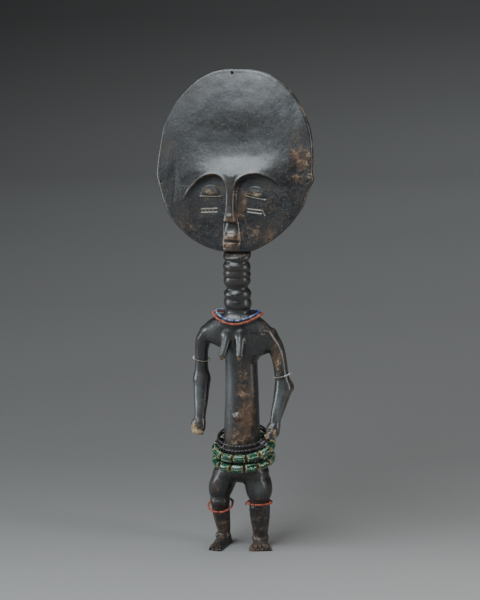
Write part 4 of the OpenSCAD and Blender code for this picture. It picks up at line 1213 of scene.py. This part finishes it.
# A cane bead's section: its wall as shares of its radius and half length, and its bore, with radii in mm.
CANE_WALL = np.array([
    (0.62, -1), (0.74, -0.985), (0.84, -0.95), (0.925, -0.88), (0.975, -0.74), (0.99, -0.5), (1, -0.25),
    (1, 0), (0.995, 0.25), (0.985, 0.5), (0.97, 0.74), (0.925, 0.88), (0.85, 0.95), (0.75, 0.985), (0.62, 1)])
CANE_BORE = np.array([(1.0, 0.97), (0.8, 0.9), (0.8, 0), (0.8, -0.9), (1.0, -0.97)])
for row, tilt, roll, radius, knot_at in (("upper", 13.5, 3, 22.5, 96), ("lower", 9.5, 1, 22.3, 66)):
    body = "waist_green_" + row
    at, way, parts = ring_strand(body, tilt, roll, radius, knot_at, 9, GREEN_COUNT, THICK)
    cord_piece(body + "_cord", parts, DARK_TWINE, body)
    for k in range(GREEN_COUNT):
        name = "green_bead_%s_%02d" % (row, k + 1)
        low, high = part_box(name)
        middle = np.array((low + high) / 2) / MM - CENTRING
        length = 9.3 - 0.7 * WEAVE.random()
        half, out = length / 2, GREEN_RADIUS * (0.965 + 0.05 * WEAVE.random())
        profile = np.vstack([CANE_WALL * (out, half), CANE_BORE * (1, half)])
        shape, quads = bead_shape(profile, 36)
        turn = np.arctan2(shape[:, 1], shape[:, 0])
        wall = np.hypot(shape[:, 0], shape[:, 1]) > 1.9
        # Hand-cut cane: slightly fluted, not quite round, with chipped ends.
        flute = 0.045 * np.sin(9 * turn + 6 * WEAVE.random()) + 0.05 * np.sin(2 * turn + 6 * WEAVE.random())
        flute = flute + 0.1 * noise(shape, 1.7, 50 + k, 2) - 0.05
        shape[:, :2] *= (1 + wall * flute / GREEN_RADIUS)[:, None]
        shape[:, 2] += wall * 0.32 * noise(shape, (1.6, 1.6, 4), 70 + k, 2) * np.abs(shape[:, 2]) / half
        uv = np.column_stack([(turn / (2 * np.pi)) % 1.0, shape[:, 2] / length + 0.5])
        tip = unit(way[k]) + 0.05 * (WEAVE.random(3) - 0.5)
        points = shape @ turned_to(tip, 6.28 * WEAVE.random()).T + middle
        mesh = new_mesh(name + "_glass", row_frame(points), outward(points, [quads]), uv)
        set_marks(mesh, tint=np.full(len(points), WEAVE.random()))
        place(name + "_glass", mesh, GREEN, body, [name])


# Collars: ovals that ride over the shoulders and drop in front and behind.
# c is (centre x, y, height at the shoulders, half width, half depth, drop in front, drop behind).
def collar_point(c, degrees):
    a = np.radians(np.asarray(degrees, float))
    drop = np.where(np.cos(a) > 0, c[5], c[6]) * np.cos(a) ** 2
    return np.stack([c[0] + c[3] * np.sin(a), c[1] - c[4] * np.cos(a), c[2] - drop], -1)


def collar_spots(c, pitch, gap):
    fine = np.linspace(-180, 180, 1441)
    line = collar_point(c, fine)
    run = np.concatenate([[0], np.cumsum(np.linalg.norm(np.diff(line, axis=0), axis=1))])
    count = int((run[-1] - gap) / pitch)
    at = (run[-1] - (count - 1) * pitch) / 2 + pitch * np.arange(count)
    a = np.interp(at, run, fine)
    return collar_point(c, a), collar_point(c, a + 1) - collar_point(c, a - 1)


def collar_cord(name, c, material, body):
    parts = twisted(collar_point(c, np.linspace(-180, 180, 420, endpoint=False)), THIN, 2.6, True)
    at = collar_point(c, 180.0) + (0, 0.1, 0)
    parts += knot(at, (1, 0, 0), (0, 1, 0.1), (0, -0.1, 1), KNOT_SIZE * THIN, THIN, 1.4)
    cord_piece(name, parts, material, body)


RED_COLLAR = (-3, -1.6, 189.3, 19.7, 15.3, 6.5, 2.6)
PALE_COLLAR = (-3, -1.6, 190.6, 17.3, 13.1, 5.3, 1.8)
# Length of bare cord on either side of a collar's knot, together.
COLLAR_GAP = 3.6
collar_cord("collar_red_cord", RED_COLLAR, DARK_TWINE, "collar_red")
collar_cord("collar_pale_cord", PALE_COLLAR, PALE_TWINE, "collar_pale")
at, way = collar_spots(RED_COLLAR, RED_PITCH, COLLAR_GAP)
string_beads("collar_red_beads", zip(at, way), RED_SEED, RED, "collar_red")
# Blue beads among the pale ones, then an unbroken blue stretch.
at, way = collar_spots(PALE_COLLAR, PALE_PITCH, COLLAR_GAP)
blue = np.array([i % 4 == 0 or i % 11 == 3 or i > 44 for i in range(len(at))])
string_beads("collar_blue_beads", zip(at[blue], way[blue]), PALE_SEED, BLUE, "collar_pale")
string_beads("collar_white_beads", zip(at[~blue], way[~blue]), PALE_SEED, SKY, "collar_pale")

# Thread tied round each arm, with five small beads 11.5 degrees apart and a knot behind.
ARM_KNOT, ARM_STEPS = 20.0, 11.5 * np.arange(-2, 3)
for side, centre, radius, tilt, roll, middle in (("right", (-33.4, -0.3, 150.6), 6.4, 6, -9, 200),
                                                 ("left", (32.3, -0.4, 141), 6.95, 4, 12, 330)):
    ring = ring_frame(centre, tilt, roll)
    parts = twisted(on_ring(ring, radius, np.linspace(0, 360, 220, endpoint=False)), 0.3, 2.0, True)
    out = unit(on_ring(ring, 1, ARM_KNOT) - ring[0])
    mid = on_ring(ring, radius + 0.1, ARM_KNOT)
    parts += knot(mid, np.cross(ring[3], out), out, ring[3], 0.68, 0.28, 1.4)
    cord_piece(side + "_arm_cord", parts, PALE_TWINE, "figure")
    angle = middle + ARM_STEPS
    at, way = on_ring(ring, radius, angle), on_ring(ring, 1, angle + 90) - ring[0]
    string_beads(side + "_arm_beads", zip(at, way), ARM_SEED, WHITE, "figure")


# ---- stage, light and camera -------------------------------------------------------------------
def softbox(name, at, aim, size, power, colour):
    data = bpy.data.lights.new(name, "AREA")
    data.shape = "RECTANGLE"
    data.size, data.size_y = size
    data.energy, data.color = power, colour
    lamp = bpy.data.objects.new(name, data)
    bpy.context.scene.collection.objects.link(lamp)
    lamp.location = at
    lamp.rotation_euler = (Vector(aim) - Vector(at)).to_track_quat("-Z", "Y").to_euler()


# Painted light falloff on the backdrop: (distance behind the figure along it in metres, share of its full
# paleness). Its colour darkens and brightens along the camera's direction to stand in for the fall of the
# lamps' light.
PAINTED_LIGHT_FALLOFF = [
    (-4, 0.66), (-0.4, 0.66), (-0.1, 0.53), (0.01, 0.41), (0.13, 0.315), (0.28, 0.272), (0.44, 0.273),
    (0.63, 0.295), (0.85, 0.346), (1.13, 0.41), (1.38, 0.503), (1.78, 0.65), (2.02, 0.77), (2.29, 0.88),
    (2.62, 0.945), (2.93, 0.717), (3.13, 0.555), (3.3, 0.42), (3.44, 0.31), (4.5, 0.15), (7, 0.12)]


# Where the paper's bend starts behind the figure, and its radius, in metres.
BEND_FROM, BEND = 2.6, 1.2
CAMERA_AZ, CAMERA_EL, CAMERA_AWAY = math.radians(16), math.radians(10), 1.702
CAMERA_AIM = Vector((CENTRING[0] * MM - 0.0007, -0.004, 0.1999))


def studio():
    f = Finish("studio_paper")
    # The backdrop's colour carries painted light falloff, from the table above and a ramp across the view.
    pale = f.sum(f.mark("fade"), f.span(f.noise(240, 2, 0.5), 0.3, 0.7, -0.006, 0.006))
    colour = f.ramp(pale, [(0, (0, 0, 0)), (1, (0.769, 0.75, 0.731))])
    paper = f.surface(Base_Color=colour, Roughness=0.85, Normal=f.bump(f.noise(600, 2, 0.5), 0.05, 0.0002))
    # It runs flat towards the back, sweeps up on a wide bend and ends upright.
    flat = np.concatenate([[-4, -2, -1], np.arange(-0.5, 1.0, 0.06), np.arange(1.0, BEND_FROM, 0.12)])
    lane = [(y, 0.0) for y in flat]
    bend = np.linspace(0, math.pi / 2, 24)
    lane += [(BEND_FROM + BEND * math.sin(a), BEND * (1 - math.cos(a))) for a in bend]
    lane += [(BEND_FROM + BEND, z) for z in (1.8, 2.6, 3.6)]
    run = np.concatenate([[0], np.cumsum(np.linalg.norm(np.diff(np.array(lane), axis=0), axis=1))]) - 4
    shade = np.interp(run, *np.array(PAINTED_LIGHT_FALLOFF).T)
    c, s = math.cos(CAMERA_AZ), math.sin(CAMERA_AZ)
    across = np.linspace(-3.2, 3.2, 17)
    n = len(across)
    points, fade = [], []
    for (y, z), share in zip(lane, shade):
        points += [(x * c - y * s, x * s + y * c, z - 0.0001) for x in across]
        # Painted light: the backdrop's colour is also paler towards the right of the view.
        fade += list(0.8 * share * (1 + 0.5 * np.clip(across, -1, 1)))
    faces = [[r * n + c, r * n + c + 1, (r + 1) * n + c + 1, (r + 1) * n + c]
             for r in range(len(lane) - 1) for c in range(n - 1)]
    mesh = new_mesh("backdrop", np.array(points), [np.array(faces)])
    set_marks(mesh, fade=np.array(fade))
    mesh.materials.append(paper)
    sheet = bpy.data.objects.new("backdrop", mesh)
    bpy.context.scene.collection.objects.link(sheet)
    world = bpy.data.worlds.new("studio_air")
    world.use_nodes = True
    world.node_tree.nodes["Background"].inputs[0].default_value = (0.9, 0.95, 1, 1)
    world.node_tree.nodes["Background"].inputs[1].default_value = 0.05
    bpy.context.scene.world = world
    softbox("key_box", (-0.6, -1.05, 1.7), (0, 0, 0.28), (1.5, 1.2), 42, (0.86, 0.95, 1))
    softbox("left_strip", (-1.22, -0.42, 0.34), (0, 0, 0.16), (0.5, 0.6), 8, (0.9, 0.96, 1))
    softbox("front_box", (-0.42, -1.62, 1.2), (0, 0, 0.25), (0.8, 0.55), 2.2, (0.84, 0.94, 1))
    softbox("top_box", (0.1, 0.15, 1.5), (0, 0, 0.2), (0.8, 0.8), 5, (0.98, 0.99, 1))
    softbox("right_strip", (1.25, -0.2, 0.5), (0, 0, 0.2), (0.3, 1.0), 6, (1, 0.98, 0.95))


def camera():
    data = bpy.data.cameras.new("view_camera")
    data.lens, data.sensor_width = 130, 36
    data.clip_start, data.clip_end = 0.05, 20
    eye = bpy.data.objects.new("view_camera", data)
    bpy.context.scene.collection.objects.link(eye)
    back = Vector((math.sin(CAMERA_AZ) * math.cos(CAMERA_EL), -math.cos(CAMERA_AZ) * math.cos(CAMERA_EL),
                   math.sin(CAMERA_EL)))
    eye.location = CAMERA_AIM + back * CAMERA_AWAY
    eye.rotation_euler = (-back).to_track_quat("-Z", "Y").to_euler()
    bpy.context.scene.camera = eye


studio()
camera()
